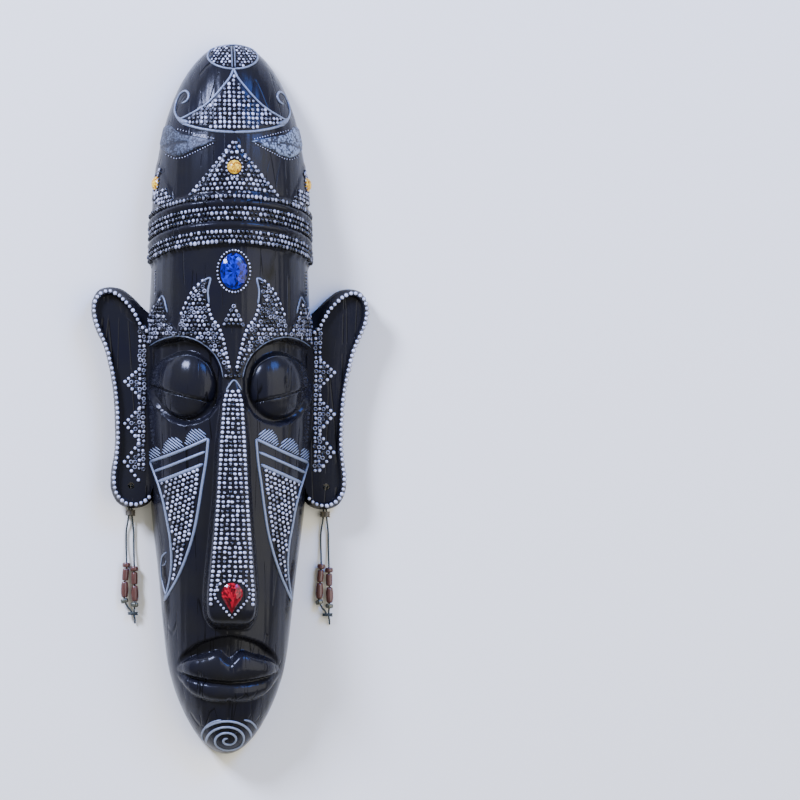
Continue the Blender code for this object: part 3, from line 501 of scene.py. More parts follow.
def set_attribute(piece, name, values):
    """Stores one number for each point of a piece, which its material reads."""
    layer = piece.data.attributes.new(name, "FLOAT", "POINT")
    layer.data.foreach_set("value", np.asarray(values, dtype=np.float32))


def finish_piece(piece, material, slot, *nodes):
    """Gives a piece its material and body, and hides the CAD nodes that it stands for. The slot is not
    used.
    """
    piece.data.materials.clear()
    piece.data.materials.append(material)
    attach(piece, "root")
    if nodes:
        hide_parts(*nodes)
    return piece


def mould_swell(x, y):
    """How far the plain hollow gives way behind the sunk eyes and mouth."""
    across, along, depth = EYE_HOLLOW
    eyes = np.exp(-((np.abs(x) - EYE_CENTRE[0]) / across) ** 2 - ((y - EYE_CENTRE[1]) / along) ** 2)
    middle, wide, high, sunk = MOUTH_HOLLOW
    mouth = np.exp(-(x / wide) ** 2 - ((y - middle) / high) ** 2)
    return depth * eyes + sunk * mouth


def row_angles():
    """Angles of the head's sections from chin to crown, closer together at the mouth, the eyes
    and the crown bands: even steps of the crowding summed up along the head."""
    angles = np.linspace(-90.0, 90.0, 3601)
    places, crowding = np.array(ROW_CROWDING, dtype=float).T
    total = np.cumsum(np.interp(angles, places, crowding))
    total = (total - total[0]) / (total[-1] - total[0])
    return np.radians(np.interp(np.linspace(0.0, 1.0, HEAD_ROWS), total, angles))


def make_head(material):
    """The casting without its ears: closed sections from chin to crown, over the carved outside,
    down to the back plane, and back along the plain inside."""
    rows = row_angles()
    turn, row = np.meshgrid(np.radians(np.linspace(-90.0, 90.0, HEAD_COLUMNS)), rows)
    outside = carved_point(turn, row)
    turn, row = np.meshgrid(np.radians(np.linspace(90.0, -90.0, INNER_COLUMNS)), rows)
    inside = head_form(turn, row, inset=WALL / UNIT)
    sunk = inside[..., 2] - mould_swell(inside[..., 0], inside[..., 1])
    inside[..., 2] = np.maximum(sunk, RIM_STRAIGHT)
    feet = []
    for edge in (outside[:, -1:], inside[:, :1], inside[:, -1:], outside[:, :1]):
        foot = edge.copy()
        foot[..., 2] = 0.0
        feet.append(foot)
    sections = np.concatenate([outside, feet[0], feet[1], inside, feet[2], feet[3]], axis=1)
    count = sections.shape[1]
    head = make_mesh("mask_head", sections.reshape(-1, 3) * UNIT, [tube_faces(HEAD_ROWS, count)])
    turn_outward(head, merge=True)
    return finish_piece(head, material, "casting", "mask")


def ear_front(share):
    """Height of the ear's front over its dish: a rounded rim at the edge and a hollow inside."""
    rim = smooth_step(share, 0.86, 0.94) * (1.0 - smooth_step(share, 0.975, 1.0) * 0.5)
    return EAR_DISH * rim + 0.5 * (1.0 - share)


def ear_rings():
    """Outlines of the right ear: its cast edge, its beaded rim and the spine between them."""
    edge = smooth_path(list(EAR_EDGE) + [EAR_EDGE[0]], EAR_POINTS + 1)[:-1]
    rim = smooth_path(list(EAR_RIM) + [EAR_RIM[0]], EAR_POINTS + 1)[:-1]
    low, high = np.array(EAR_SPINE, dtype=float)
    spine_share = np.clip((edge[:, 1:] - low[1]) / (high[1] - low[1]), 0.0, 1.0)
    return edge, rim, low + (high - low) * spine_share


def make_ear(side_name, sign, material):
    """An ear as nested rings: flat back, rounded upright edge, raised rim and dished front, with
    the lobe hole cut through."""
    edge, rim, spine = ear_rings()
    back = EAR_BACK / UNIT
    front = back + EAR_THICKNESS / UNIT
    dish = front - EAR_DISH
    rings = [(edge, share, back) for share in EAR_BACK_SHARES]
    rings += [(edge, share, back + rise) for share, rise in EAR_ROUNDING]
    for lift in EAR_EDGE_LIFTS:
        middle = edge + (rim - edge) * lift
        rings.append((middle, 1.0, back + EAR_ROUNDING[-1][1] + (front - back - EAR_EDGE_SHORT) * lift))
    rings += [(rim, share, dish + float(ear_front(share))) for share in EAR_FRONT_SHARES]
    layers = []
    for flat, share, height in rings:
        ring = spine + (flat - spine) * share
        layer = np.concatenate([ring, np.full((EAR_POINTS, 1), height)], axis=1)
        layer[:, 2] += chisel_marks(ring[:, 0], ring[:, 1]) * (height > back + EAR_MARKS_FROM)
        layers.append(layer)
    points = np.concatenate(layers)
    points[:, 0] *= sign
    ear = make_mesh(f"mask_ear_{side_name}", points * UNIT,
                    [tube_faces(len(rings), EAR_POINTS), end_caps(len(rings), EAR_POINTS)])
    turn_outward(ear, merge=True)
    hole_x = sign * LOBE_CENTRE[0] * UNIT
    drill = turned_piece("lobe_drill", [(LOBE_HOLE / 2, DRILL_REACH), (LOBE_HOLE / 2, -DRILL_REACH)], 24,
                         Matrix.Translation((hole_x, LOBE_CENTRE[1] * UNIT, EAR_BACK)), capped=True)
    cut = ear.modifiers.new("Lobe hole", "BOOLEAN")
    cut.object = drill
    cut.operation = "DIFFERENCE"
    bpy.context.view_layer.update()
    drilled = bpy.data.meshes.new_from_object(
        ear.evaluated_get(bpy.context.evaluated_depsgraph_get()))
    ear.modifiers.remove(cut)
    ear.data = drilled
    ear.data.shade_smooth()
    ear.data.set_sharp_from_angle(angle=math.radians(50))
    bpy.data.objects.remove(drill)
    return finish_piece(ear, material, "casting", "mask")


def turned_piece(name, profile, sides, matrix, capped=False, petals=0.0):
    """Turned shape: a closed profile of (radius, height) carried round Z, or one closed by flat
    ends. Petals scallop the radius by that share, PETALS times round."""
    profile = np.array(profile, dtype=float)
    angles = np.linspace(0.0, 2 * np.pi, sides, endpoint=False)
    swell = 1.0 + petals * np.cos(PETALS * angles)[:, None] * (profile[:, 0] > profile[:, 0].min() * 1.3)
    radius = profile[:, 0] * swell
    points = np.stack([radius * np.cos(angles)[:, None], radius * np.sin(angles)[:, None],
                       np.broadcast_to(profile[:, 1], radius.shape)], axis=-1)
    count = len(profile)
    faces = [tube_faces(sides, count, closed_rows=True)]
    if capped:
        faces = [faces[0].reshape(sides, count, 4)[:, :-1].reshape(-1, 4)]
        faces.append(np.array([np.arange(sides) * count, np.arange(sides) * count + count - 1]))
    turn = np.array(matrix)
    placed = points.reshape(-1, 3) @ turn[:3, :3].T + turn[:3, 3]
    piece = make_mesh(name, placed, faces)
    turn_outward(piece, merge=True)
    return piece


# Raised beads: rings of (share of radius, share of height, brightness of the silver) from the
# middle of the base, over the edge, to the middle of the top. The silver runs from none at the
# foot to full on the top: partly dry-brushed paint on what stands up, partly a painted highlight
# on the tops and painted shade round the feet and in the hollow of the rings.
DOME = ((0.0, -0.45, 0.0), (1.0, -0.45, 0.0), (1.0, 0.1, 0.0), (0.84, 0.58, 0.5),
        (0.55, 0.86, 1.0), (0.0, 0.98, 1.0))
CRATER = ((0.0, -0.45, 0.0), (1.0, -0.45, 0.0), (1.0, 0.25, 0.1), (0.78, 0.75, 1.0),
          (0.48, 0.62, 0.3), (0.0, 0.1, 0.0))
BEAD_SIDES = 8

# Where the beads lie, in carving units and radians
HEAD_RADIUS = 50.0
HEAD_MIDDLE_DEPTH = 46.0
BEAD_PITCH = 2.75
BAND_REACH = 1.52
FIELD_REACH = 1.45
CENTRE_CLEAR = (6.2, 6.2)
SIDE_CLEAR = (4.6, 5.2)
SIDE_BEND = 0.6
BAR_CLEAR = 1.5
BROW_RING_SHARE = 0.42
EAR_RING_SHARE = 0.45
FIELD_JITTER = (-0.26, 0.26)
NUB_JITTER = (-0.3, 0.3)
CROWN_FIELD = ((-1, 112.2), (23.0, 112.2), (0.6, 139.5), (-1, 139.5))
CROWN_FIELD_RIM = ((23.2, 111.5), (11.5, 126.3), (0.9, 140.0))
SIDE_FIELD = ((31.5, 106.5), (40.5, 132.5), (49.5, 132.5), (52.5, 106.5))
FLAME_BEADS = ((0, 50.6), (-1.2, 48.2), (1.2, 48.0), (-2.5, 45.6), (0, 45.8), (2.5, 45.5),
               (-3.6, 43.1), (-1.2, 43.3), (1.2, 43.2), (3.6, 43.0), (-4.8, 40.6), (-2.4, 40.9),
               (0, 41.0), (2.4, 40.8), (4.8, 40.5))
BROW_EDGES = ((((2.2, 17.5), (4, 25), (5.8, 33), (8, 39.3), (12, 44), (13.8, 51)), 2.6),
              (((16.5, 64.3), (21.5, 59.5), (25, 52.5), (27.5, 46.5)), 2.9),
              (((41.5, 50), (43.4, 45.5), (45.8, 41.2)), 2.8))
NOSE_RING = (6.6, 10.6)
CHEEK_RUN = (0.925, -0.38)
CHEEK_FALL = (-0.38, -0.925)
CHEEK_CORNER = (15.8, -35.7)
EAR_CLUSTERS = ((12.0, 19.0, 4.0), (-11.0, -3.0, -20.0), (-32.0, -22.0, -42.0))
EAR_CLUSTER_X = (49.8, 57.6)
EAR_COLUMNS = (47.2, 49.6)
EAR_SHIFT = 3.0
FOREHEAD_DOTS = (8.9, 11.5, 34)
CROWN_DOTS = (5.4, 16)
LEAF_DOTS = (((11, 142.2), (20, 144.6), (29.5, 147.4)),
             ((11.5, 139.6), (20, 135.2), (27, 131.8), (31, 131.2), (35.5, 133.6)))
TEMPLE_DOTS = ((41.6, 57.5), (41.5, 70.0))


def make_beads(name, shape, places, material):
    """Joined raised beads. Each row of places holds a point, a normal, a radius across and along
    the mask, a height and a brightness; the shape's rings are carried round every one of them."""
    centres, normals = places[:, 0:3], places[:, 3:6]
    up = unit_rows(np.array([0.0, 1.0, 0.0]) - normals * normals[:, 1:2])
    across = np.cross(up, normals)
    angles = np.linspace(0.0, 2 * np.pi, BEAD_SIDES, endpoint=False)
    rows = np.array(shape)
    ring_radius = np.concatenate([[0.0], np.repeat(rows[1:-1, 0], BEAD_SIDES), [0.0]])
    ring_height_share = np.concatenate([rows[:1, 1], np.repeat(rows[1:-1, 1], BEAD_SIDES),
                                        rows[-1:, 1]])
    ring_silver_and_highlight = np.concatenate([rows[:1, 2], np.repeat(rows[1:-1, 2], BEAD_SIDES), rows[-1:, 2]])
    turns = np.concatenate([[0.0], np.tile(angles, len(rows) - 2), [0.0]])
    sideways = ring_radius * np.cos(turns)
    upwards = ring_radius * np.sin(turns)
    points = (centres[:, None] + across[:, None] * (places[:, 6:7] * sideways)[..., None]
              + up[:, None] * (places[:, 7:8] * upwards)[..., None]
              + normals[:, None] * (places[:, 8:9] * ring_height_share)[..., None])
    count = points.shape[1]
    after = (np.arange(BEAD_SIDES) + 1) % BEAD_SIDES
    first = 1 + np.arange(BEAD_SIDES)
    base = np.stack([np.zeros(BEAD_SIDES, int), 1 + after, first], axis=1)
    last = 1 + (len(rows) - 3) * BEAD_SIDES
    top = np.stack([last + np.arange(BEAD_SIDES), last + after, np.full(BEAD_SIDES, count - 1)],
                   axis=1)
    sides = [np.stack([first + ring * BEAD_SIDES, 1 + after + ring * BEAD_SIDES,
                       1 + after + (ring + 1) * BEAD_SIDES, first + (ring + 1) * BEAD_SIDES], axis=1)
             for ring in range(len(rows) - 3)]
    shift = (np.arange(len(places)) * count)[:, None, None]
    quads = (np.concatenate(sides)[None] + shift).reshape(-1, 4)
    triangles = (np.concatenate([base, top])[None] + shift).reshape(-1, 3)
    beads = make_mesh(name, points.reshape(-1, 3) * UNIT, [quads, triangles])
    # Stored silver: dry-brushed paint, with the painted highlight and shade of the ring profile.
    set_attribute(beads, "silver", (places[:, 9:10] * ring_silver_and_highlight).ravel())
    return finish_piece(beads, material, "casting")


def drawn(value, count):
    """Uneven values between a pair of bounds, from the fixed sequence, or the value itself."""
    if isinstance(value, tuple):
        return CHANCE.uniform(*value, count)
    return np.broadcast_to(np.asarray(value, dtype=float), count)


def bead_rows(points, normals, *columns):
    """Rows of bead places. The columns are the radius across and along the mask, the height and
    the brightness, each drawn in that order."""
    columns = [drawn(value, len(points)) for value in columns]
    return np.concatenate([points, normals, np.stack(columns, axis=-1)], axis=-1)


def head_beads(places, *columns):
    """Rows of bead places on the head at places seen from the front."""
    return bead_rows(*carved_frame(*head_place(places[:, 0], places[:, 1])), *columns)


def ear_beads(places, lift, size, height, bright):
    """Rows of bead places on the flat front of an ear."""
    points = np.concatenate([places, np.full((len(places), 1), lift)], axis=1)
    size = drawn(size, len(places))
    return bead_rows(points, np.broadcast_to([0.0, 0.0, 1.0], points.shape), size, size, height, bright)


def surface_rows(low, high, pitch):
    """Heights of rows that lie one pitch apart along the middle of the head's surface."""
    heights = [low]
    while heights[-1] < high:
        phi = math.asin(heights[-1] / HALF_HEIGHT)
        slope = ROUND_ALONG * HEAD_MIDDLE_DEPTH * math.cos(phi) ** (ROUND_ALONG - 1.0) * math.sin(phi)
        turn = pitch / math.hypot(HALF_HEIGHT * math.cos(phi), slope)
        heights.append(HALF_HEIGHT * math.sin(phi + turn))
    return heights[:-1]


def field_places(outline, pitch, row_pitch, margin, stagger=0.0, mirrored=True, bend=0.0):
    """Places inside an outline, in rows one pitch apart along the surface. Bend lets the rows
    fall to the sides as the bands do."""
    low = min(y for x, y in outline)
    high = max(y for x, y in outline)
    found = []
    for number, height in enumerate(surface_rows(low + 0.4, high + 0.2, row_pitch)):
        width = half_width(height)
        step = pitch / max(width, pitch)
        reach = int(FIELD_REACH / step)
        theta = (np.arange(-reach, reach + 1) + stagger * (number % 2)) * step
        x = width * np.sin(theta)
        y = np.full(x.shape, height) - bend * (1.0 - np.cos(theta))
        x = x + drawn(FIELD_JITTER, len(x))
        y = y + drawn(FIELD_JITTER, len(y))
        side = np.abs(x) if mirrored else x
        keep = depth_inside(side, y, outline) > margin
        found.append(np.stack([x[keep], y[keep]], axis=1))
    return np.concatenate(found)


def along_outline(points, pitch):
    """Places at even steps along a line."""
    points = np.array(points, dtype=float)
    length = np.linalg.norm(np.diff(points, axis=0), axis=1).sum()
    count = max(2, int(round(length / pitch)) + 1)
    share = np.concatenate(([0.0], np.cumsum(np.linalg.norm(np.diff(points, axis=0), axis=1))))
    steps = np.linspace(0.0, share[-1], count)
    return np.stack([np.interp(steps, share, points[:, 0]), np.interp(steps, share, points[:, 1])],
                    axis=1)


def both_sides(points):
    """A list of places and their mirror images."""
    points = np.asarray(points, dtype=float)
    return np.concatenate([points, points * [-1.0, 1.0]])


def make_bands(material):
    """Bead rows round the crown band, leaning down to the sides as its cords do. The first and
    last rows are a little larger."""
    rows = []
    for number, ring in enumerate(BEAD_ROWS):
        theta = (np.arange(-28, 29) + 0.5 * (number % 2)) * (BEAD_PITCH / HEAD_RADIUS)
        theta = theta[np.abs(theta) < BAND_REACH]
        theta = theta + drawn((-0.004, 0.004), len(theta))
        y = ring - BAND_DROP * (1.0 - np.cos(theta)) + drawn((-0.15, 0.15), len(theta))
        size = drawn((1.0, 1.3), len(theta))
        # Silver dimmed towards the sides, where the band turns away: painted shade.
        bright = drawn((0.1, 0.85), len(theta)) * (0.6 + 0.4 * np.cos(theta))
        edge_row = 1.0 + 0.12 * (number in (0, len(BEAD_ROWS) - 1))
        rows.append(bead_rows(*carved_frame(theta, np.arcsin(y / HALF_HEIGHT)),
                              size * edge_row * 0.98, size * edge_row * 1.18, size * 1.25, bright))
    return make_beads("band_beads", DOME, np.concatenate(rows), material)


def keep_clear(places, centre, radius_x, radius_y):
    """Places outside the ellipse that a stone and its ring of dots take up."""
    away = ((places[:, 0] - centre[0]) / radius_x) ** 2 + ((places[:, 1] - centre[1]) / radius_y) ** 2
    return places[away > 1.0]


def make_crown_fields(material):
    """Beads of the crown: the triangle over the bands, the side triangles, the curved triangle
    in straight columns and the medallion."""
    triangle = field_places(CROWN_FIELD, pitch=2.55, row_pitch=2.5, margin=0.2, stagger=0.5,
                            bend=BAND_DROP)
    triangle = keep_clear(triangle, seat_place("centre"), *CENTRE_CLEAR)
    rows = [head_beads(triangle, (1.0, 1.3), (1.1, 1.35), 1.25, (0.25, 1.0))]
    rim = both_sides(along_outline(CROWN_FIELD_RIM, 2.7))
    rows.append(head_beads(rim, 1.2, 1.2, 1.2, (0.35, 1.0)))
    side = field_places(SIDE_FIELD, pitch=2.2, row_pitch=2.2, margin=0.2, stagger=0.5,
                        bend=BAND_DROP * SIDE_BEND)
    for key in ("right", "left"):
        side = keep_clear(side, seat_place(key), *SIDE_CLEAR)
    rows.append(head_beads(side, 1.05, 1.2, 1.1, (0.2, 0.95)))
    curved = field_places(CURVED_TRIANGLE, pitch=2.5, row_pitch=2.45, margin=1.5)
    rows.append(head_beads(curved, (0.95, 1.25), (1.1, 1.4), 1.2, (0.35, 1.0)))
    y, radius_x, radius_y = CROWN_MEDALLION
    turns = np.linspace(0.0, 2 * np.pi, 24, endpoint=False)
    oval = np.stack([radius_x * np.cos(turns), y + radius_y * np.sin(turns)], axis=1)
    middle = field_places([tuple(point) for point in oval], pitch=2.1, row_pitch=2.0, margin=0.9,
                          stagger=0.5, mirrored=False)
    middle = middle[np.abs(middle[:, 0]) > BAR_CLEAR]
    rows.append(head_beads(middle, 0.95, 1.05, 1.0, (0.2, 1.0)))
    return make_beads("crown_beads", DOME, np.concatenate(rows), material)


def make_brow(material):
    """The brow panel and the middle flame: a field of beads, two in five of them hollow rings,
    inside a brighter edge."""
    field = field_places(BROW_PANEL, pitch=2.45, row_pitch=2.3, margin=1.0, stagger=0.5)
    field = np.concatenate([field, np.array(FLAME_BEADS)])
    hollow = CHANCE.random(len(field)) < BROW_RING_SHARE
    bright = drawn((0.15, 0.85), len(field))
    plain = head_beads(field[~hollow], 1.15, 1.15, 1.2, bright[~hollow])
    rings = head_beads(field[hollow], 1.3, 1.3, 1.1, bright[hollow])
    edges = both_sides(np.concatenate([along_outline(*edge) for edge in BROW_EDGES]))
    rims = head_beads(edges, 1.15, 1.15, 1.2, (0.7, 1.0))
    make_beads("brow_rings", CRATER, rings, material)
    return make_beads("brow_beads", DOME, np.concatenate([plain, rims]), material)


def make_nose_strip(material):
    """The strip down the nose: rows of flat nubs between two lines of rounder ones, left out
    under the stone and its ring of dots."""
    rows = []
    for height in np.arange(4.2, -112.0, -2.5):
        half = float(smooth_curve(height, NOSE_TOP)) - 0.25
        x = np.linspace(-half, half, max(2, int(round(2 * half / 2.3))) + 1)
        count = len(x)
        edge = np.zeros(count)
        edge[[0, -1]] = 1.0
        y = height + drawn(NUB_JITTER, count) * (1 - edge)
        x = x + drawn(NUB_JITTER, count) * (1 - edge)
        stone = (x / NOSE_RING[0]) ** 2 + ((y - NOSE_SEAT[1]) / NOSE_RING[1]) ** 2
        bright = np.where(edge > 0, drawn((0.6, 1.0), count), drawn((0.3, 1.05), count))
        across = drawn((1.1, 1.35), count)
        along = np.where(edge > 0, 1.2, drawn((0.95, 1.2), count))
        beads = head_beads(np.stack([x, y], axis=1), across, along, 0.95 + 0.25 * edge, bright)
        rows.append(beads[stone > 1.0])
    return make_beads("nose_beads", DOME, np.concatenate(rows), material)


def make_cheek_fields(material):
    """Slanting rows of nubs in the cheek wedges, below the third bar, level with the bars."""
    numbers = np.arange(1, 42)
    along, down = np.meshgrid(np.arange(-8, 24) * 2.5, numbers * 2.2)
    along = along + 1.25 * (numbers[:, None] % 2)
    places = (np.array(CHEEK_CORNER) + along[..., None] * np.array(CHEEK_RUN)
              + down[..., None] * np.array(CHEEK_FALL)).reshape(-1, 2)
    places = places + CHANCE.uniform(*NUB_JITTER, places.shape)
    places = both_sides(places[depth_inside(places[:, 0], places[:, 1], CHEEK_OUTLINE) > 1.45])
    bright = drawn((0.4, 1.1), len(places))
    field = head_beads(places, (1.2, 1.5), 1.1, 1.15, bright)
    return make_beads("cheek_beads", DOME, field, material)


def make_ear_beads(side_name, sign, material):
    """Beads of one ear: its rim, the band beside the head and three pointed clusters."""
    front = (EAR_BACK + EAR_THICKNESS) / UNIT
    top = front - 0.35
    dish = front - EAR_DISH + 0.1
    edge, rim, _ = ear_rings()
    outer = np.clip((rim[:, :1] - 58.0) / 6.0, 0.0, 1.0)
    rim = rim + (edge - rim) * (0.08 + 0.34 * outer)
    rim = rim[(rim[:, 0] > 46.5) | (rim[:, 1] > 36.0) | (rim[:, 1] < -52.0)]
    gaps = np.concatenate(([0.0], np.linalg.norm(np.diff(rim, axis=0), axis=1)))
    walk = np.cumsum(np.where(gaps > 4.0, 0.0, gaps))
    steps = np.arange(0.0, walk[-1], BEAD_PITCH)
    rim = np.stack([np.interp(steps, walk, rim[:, 0]), np.interp(steps, walk, rim[:, 1])], axis=1)
    rim = rim + CHANCE.uniform(-0.12, 0.12, rim.shape)
    rows = [ear_beads(rim, top, (1.15, 1.42), 1.25, (0.75, 1.0))]
    hollow = []
    near, far = EAR_CLUSTER_X
    shift = EAR_SHIFT * sign
    for tip_y, high, low in EAR_CLUSTERS:
        for end in (high, low):
            edge = along_outline(((near, end + shift), (far, tip_y + shift)), 2.9)
            rows.append(ear_beads(edge, dish, (1.1, 1.35), 1.3, (0.75, 1.0)))
        inner = np.array([(51.5, tip_y), (51.8, tip_y + 2.9), (51.6, tip_y - 2.9), (54.2, tip_y)])
        inner = inner + CHANCE.uniform(*NUB_JITTER, inner.shape)
        hollow.append(ear_beads(inner + [0.0, shift], dish, 1.3, 1.0, (0.3, 0.8)))
    heights = np.arange(39.0, -41.0, -2.6)
    for column in EAR_COLUMNS:
        y = heights + drawn(NUB_JITTER, len(heights))
        x = column + drawn(NUB_JITTER, len(heights))
        places = np.stack([x, y], axis=1)
        ring = CHANCE.random(len(places)) < EAR_RING_SHARE
        rows.append(ear_beads(places[~ring], dish, 1.12, 1.2, (0.4, 0.95)))
        hollow.append(ear_beads(places[ring], dish, 1.3, 1.1, (0.4, 0.9)))
    flip = np.array([sign, 1, 1, 1, 1, 1, 1, 1, 1, 1])
    make_beads(f"ear_rings_{side_name}", CRATER, np.concatenate(hollow) * flip, material)
    return make_beads(f"ear_beads_{side_name}", DOME, np.concatenate(rows) * flip, material)


def make_dots(material):
    """Small dots: the rings round the stones, the edges of the leaves and the dotted lines on
    the temples."""
    radius_x, radius_y, count = FOREHEAD_DOTS
    turns = np.linspace(0.0, 2 * np.pi, count, endpoint=False)
    oval = np.stack([radius_x * np.cos(turns), FOREHEAD_SEAT[1] + radius_y * np.sin(turns)], axis=1)
    rows = [head_beads(oval, 0.72, 0.72, 0.9, (0.55, 1.0))]
    radius, count = CROWN_DOTS
    turns = np.linspace(0.0, 2 * np.pi, count, endpoint=False)
    for share, y in CROWN_SEATS.values():
        theta = math.asin(share) + radius * np.cos(turns) / HEAD_RADIUS
        phi = np.arcsin((y + radius * np.sin(turns)) / HALF_HEIGHT)
        rows.append(bead_rows(*carved_frame(theta, phi), 0.8, 0.8, 0.9, (0.4, 0.95)))
    drop = drop_outline((DROP_STONE[0] / UNIT, DROP_STONE[1] / UNIT), 1.25, 60)
    drop = drop + [0.0, NOSE_SEAT[1]]
    drop = along_outline(np.concatenate([drop, drop[:1]]), 2.1)[:-1]
    rows.append(head_beads(drop, 0.95, 0.95, 1.0, (0.5, 1.0)))
    for edge in LEAF_DOTS:
        rows.append(head_beads(both_sides(along_outline(edge, 1.45)), 0.45, 0.45, 0.5, 0.7))
    temple = both_sides(along_outline(TEMPLE_DOTS, 1.75))
    rows.append(head_beads(temple, 0.6, 0.6, 0.5, (0.3, 0.8)))
    return make_beads("small_dots", DOME, np.concatenate(rows), material)


def make_lines(name, lines, material):
    """Half-round lines of paint laid on the carving: every line is sampled at even steps, and a
    closed half-round section, broad at the foot, is carried along it."""
    section = np.array([(-0.5, -0.35), (-0.5, 0.2), (-0.3, 0.8), (0.0, 1.0), (0.3, 0.8), (0.5, 0.2),
                        (0.5, -0.35)])
    silver = np.array([0.2, 0.6, 0.95, 1.0, 0.95, 0.6, 0.2])
    all_points, all_quads, all_silver, caps = [], [], [], []
    start = 0
    for path, width, height, bright in lines:
        path = np.array(path, dtype=float)
        length = np.linalg.norm(np.diff(path, axis=0), axis=1).sum()
        places = smooth_path(path, max(4, int(length / LINE_STEP)))
        theta, phi = head_place(places[:, 0], places[:, 1])
        points, normals = carved_frame(theta, phi)
        tangent = unit_rows(np.gradient(points, axis=0))
        across = unit_rows(np.cross(tangent, normals))
        taper = np.minimum(1.0, 0.45 + np.minimum(np.arange(len(points)),
                                                 np.arange(len(points))[::-1]) * 0.3)[:, None, None]
        body = (points[:, None] + across[:, None] * section[None, :, :1] * width * taper
                + normals[:, None] * section[None, :, 1:] * height * taper)
        count = len(section)
        all_points.append(body.reshape(-1, 3))
        all_quads.append(tube_faces(len(points), count) + start)
        all_silver.append(np.tile(silver * bright, len(points)))
        caps.append(end_caps(len(points), count) + start)
        start += len(points) * count
    piece = make_mesh(name, np.concatenate(all_points) * UNIT, all_quads + caps)
    turn_outward(piece)
    set_attribute(piece, "silver", np.concatenate(all_silver))
    return finish_piece(piece, material, "casting")


def mirrored(lines):
    """Lines of the right half and their mirror images."""
    flipped = [([(-x, y) for x, y in path], *details) for path, *details in lines]
    return [(path, *details) for path, *details in lines] + flipped


def crown_lines():
    """Lines of the crown: the medallion's rim and double bar, and the curved triangle with its
    sides that curl back outside its corners."""
    y, radius_x, radius_y = CROWN_MEDALLION
    turns = np.linspace(-0.5 * np.pi, 1.5 * np.pi, 40)
    rim = [(radius_x * math.cos(turn), y + radius_y * 0.96 * math.sin(turn)) for turn in turns]
    bars = [([(side, 181.5), (side, 188), (side, 193.6)], 0.8, 0.5, 0.7) for side in (-0.8, 0.8)]
    slope = [place for place in TRIANGLE_SIDE if place[1] > 153.8 and place[0] < 26]
    slope = slope[:7] + [(27.6, 153.1), (29.3, 153.3)]
    curl = [(20, 148.4), (25.2, 150.2), (28.9, 152.8), (30.7, 156.6), (30.5, 160.6), (29.2, 164.6),
            (27.2, 167.7), (25.2, 168.6), (23.8, 167.1), (24.0, 164.6), (25.4, 162.6), (27.3, 161.8)]
    corner = [(24.0, 151.2), (27.2, 151.8), (29.8, 154.0)]
    return mirrored([(slope, 1.35, 0.7, 0.8), (curl, 1.3, 0.7, 0.8), (corner, 2.6, 0.72, 0.72),
                     (TRIANGLE_FOOT[1:], 1.6, 0.75, 0.8)]) + [(rim, 1.25, 0.65, 0.75)] + bars


def chin_lines():
    """The coil on the chin, flattened as it turns under, and the arms round it."""
    turns = np.linspace(0.25, CHIN_SPIRAL_TURNS, 110)
    radius = CHIN_SPIRAL_PITCH * turns
    x, y = CHIN_CENTRE
    coil = [(x + r * math.cos(2 * math.pi * t), y + r * CHIN_SPIRAL_LEAN * math.sin(2 * math.pi * t))
            for r, t in zip(radius, turns)]
    runs, run = [], []
    for place in coil:
        if place[1] > CHIN_EDGE and abs(place[0]) < 0.9 * half_width(place[1]):
            run.append(place)
        elif run:
            runs.append(run)
            run = []
    runs.append(run)
    left = [(-4, -176), (-9, -177.6), (-12.2, -180.4), (-13.8, -184.6), (-12.4, -188.6)]
    right = [(8.5, -176), (12, -176.8), (14.5, -178.8), (16.4, -181.4)]
    return [(run, 1.35, 0.65, 1.0) for run in runs if len(run) > 4] + [
        (left, 1.2, 0.6, 0.85), (right, 1.2, 0.6, 0.8)]


def cheek_lines():
    """Outline and bars of the cheek wedges, and the hatching in the three scallops over them."""
    outline = [(list(CHEEK_OUTLINE[:3]), 1.9, 0.8, 0.85), (list(CHEEK_OUTLINE[2:10]), 1.8, 0.8, 0.85),
               (list(CHEEK_OUTLINE[9:]), 1.8, 0.8, 0.8)]
    bars = [(list(bar), 1.7, 0.75, 0.85) for bar in CHEEK_BARS]
    bars.append(([(16.2, -36.4), (38.6, -45.9)], 1.5, 0.7, 0.7))
    run = np.array([math.cos(math.radians(38)), math.sin(math.radians(38))])
    step = np.array([-run[1], run[0]])
    hatch = []
    for scallop in CHEEK_SCALLOPS:
        middle = np.array(scallop).mean(axis=0)
        for number in range(-10, 11):
            places = middle + step * number * 1.3 + run * np.arange(-12.0, 12.0, 0.4)[:, None]
            inside = places[depth_inside(places[:, 0], places[:, 1], scallop) > 0.15]
            if len(inside) > 3:
                hatch.append(([tuple(inside[0]), tuple((inside[0] + inside[-1]) / 2),
                               tuple(inside[-1])], 0.85, 0.5, 1.0))
    return mirrored(outline + bars + hatch)


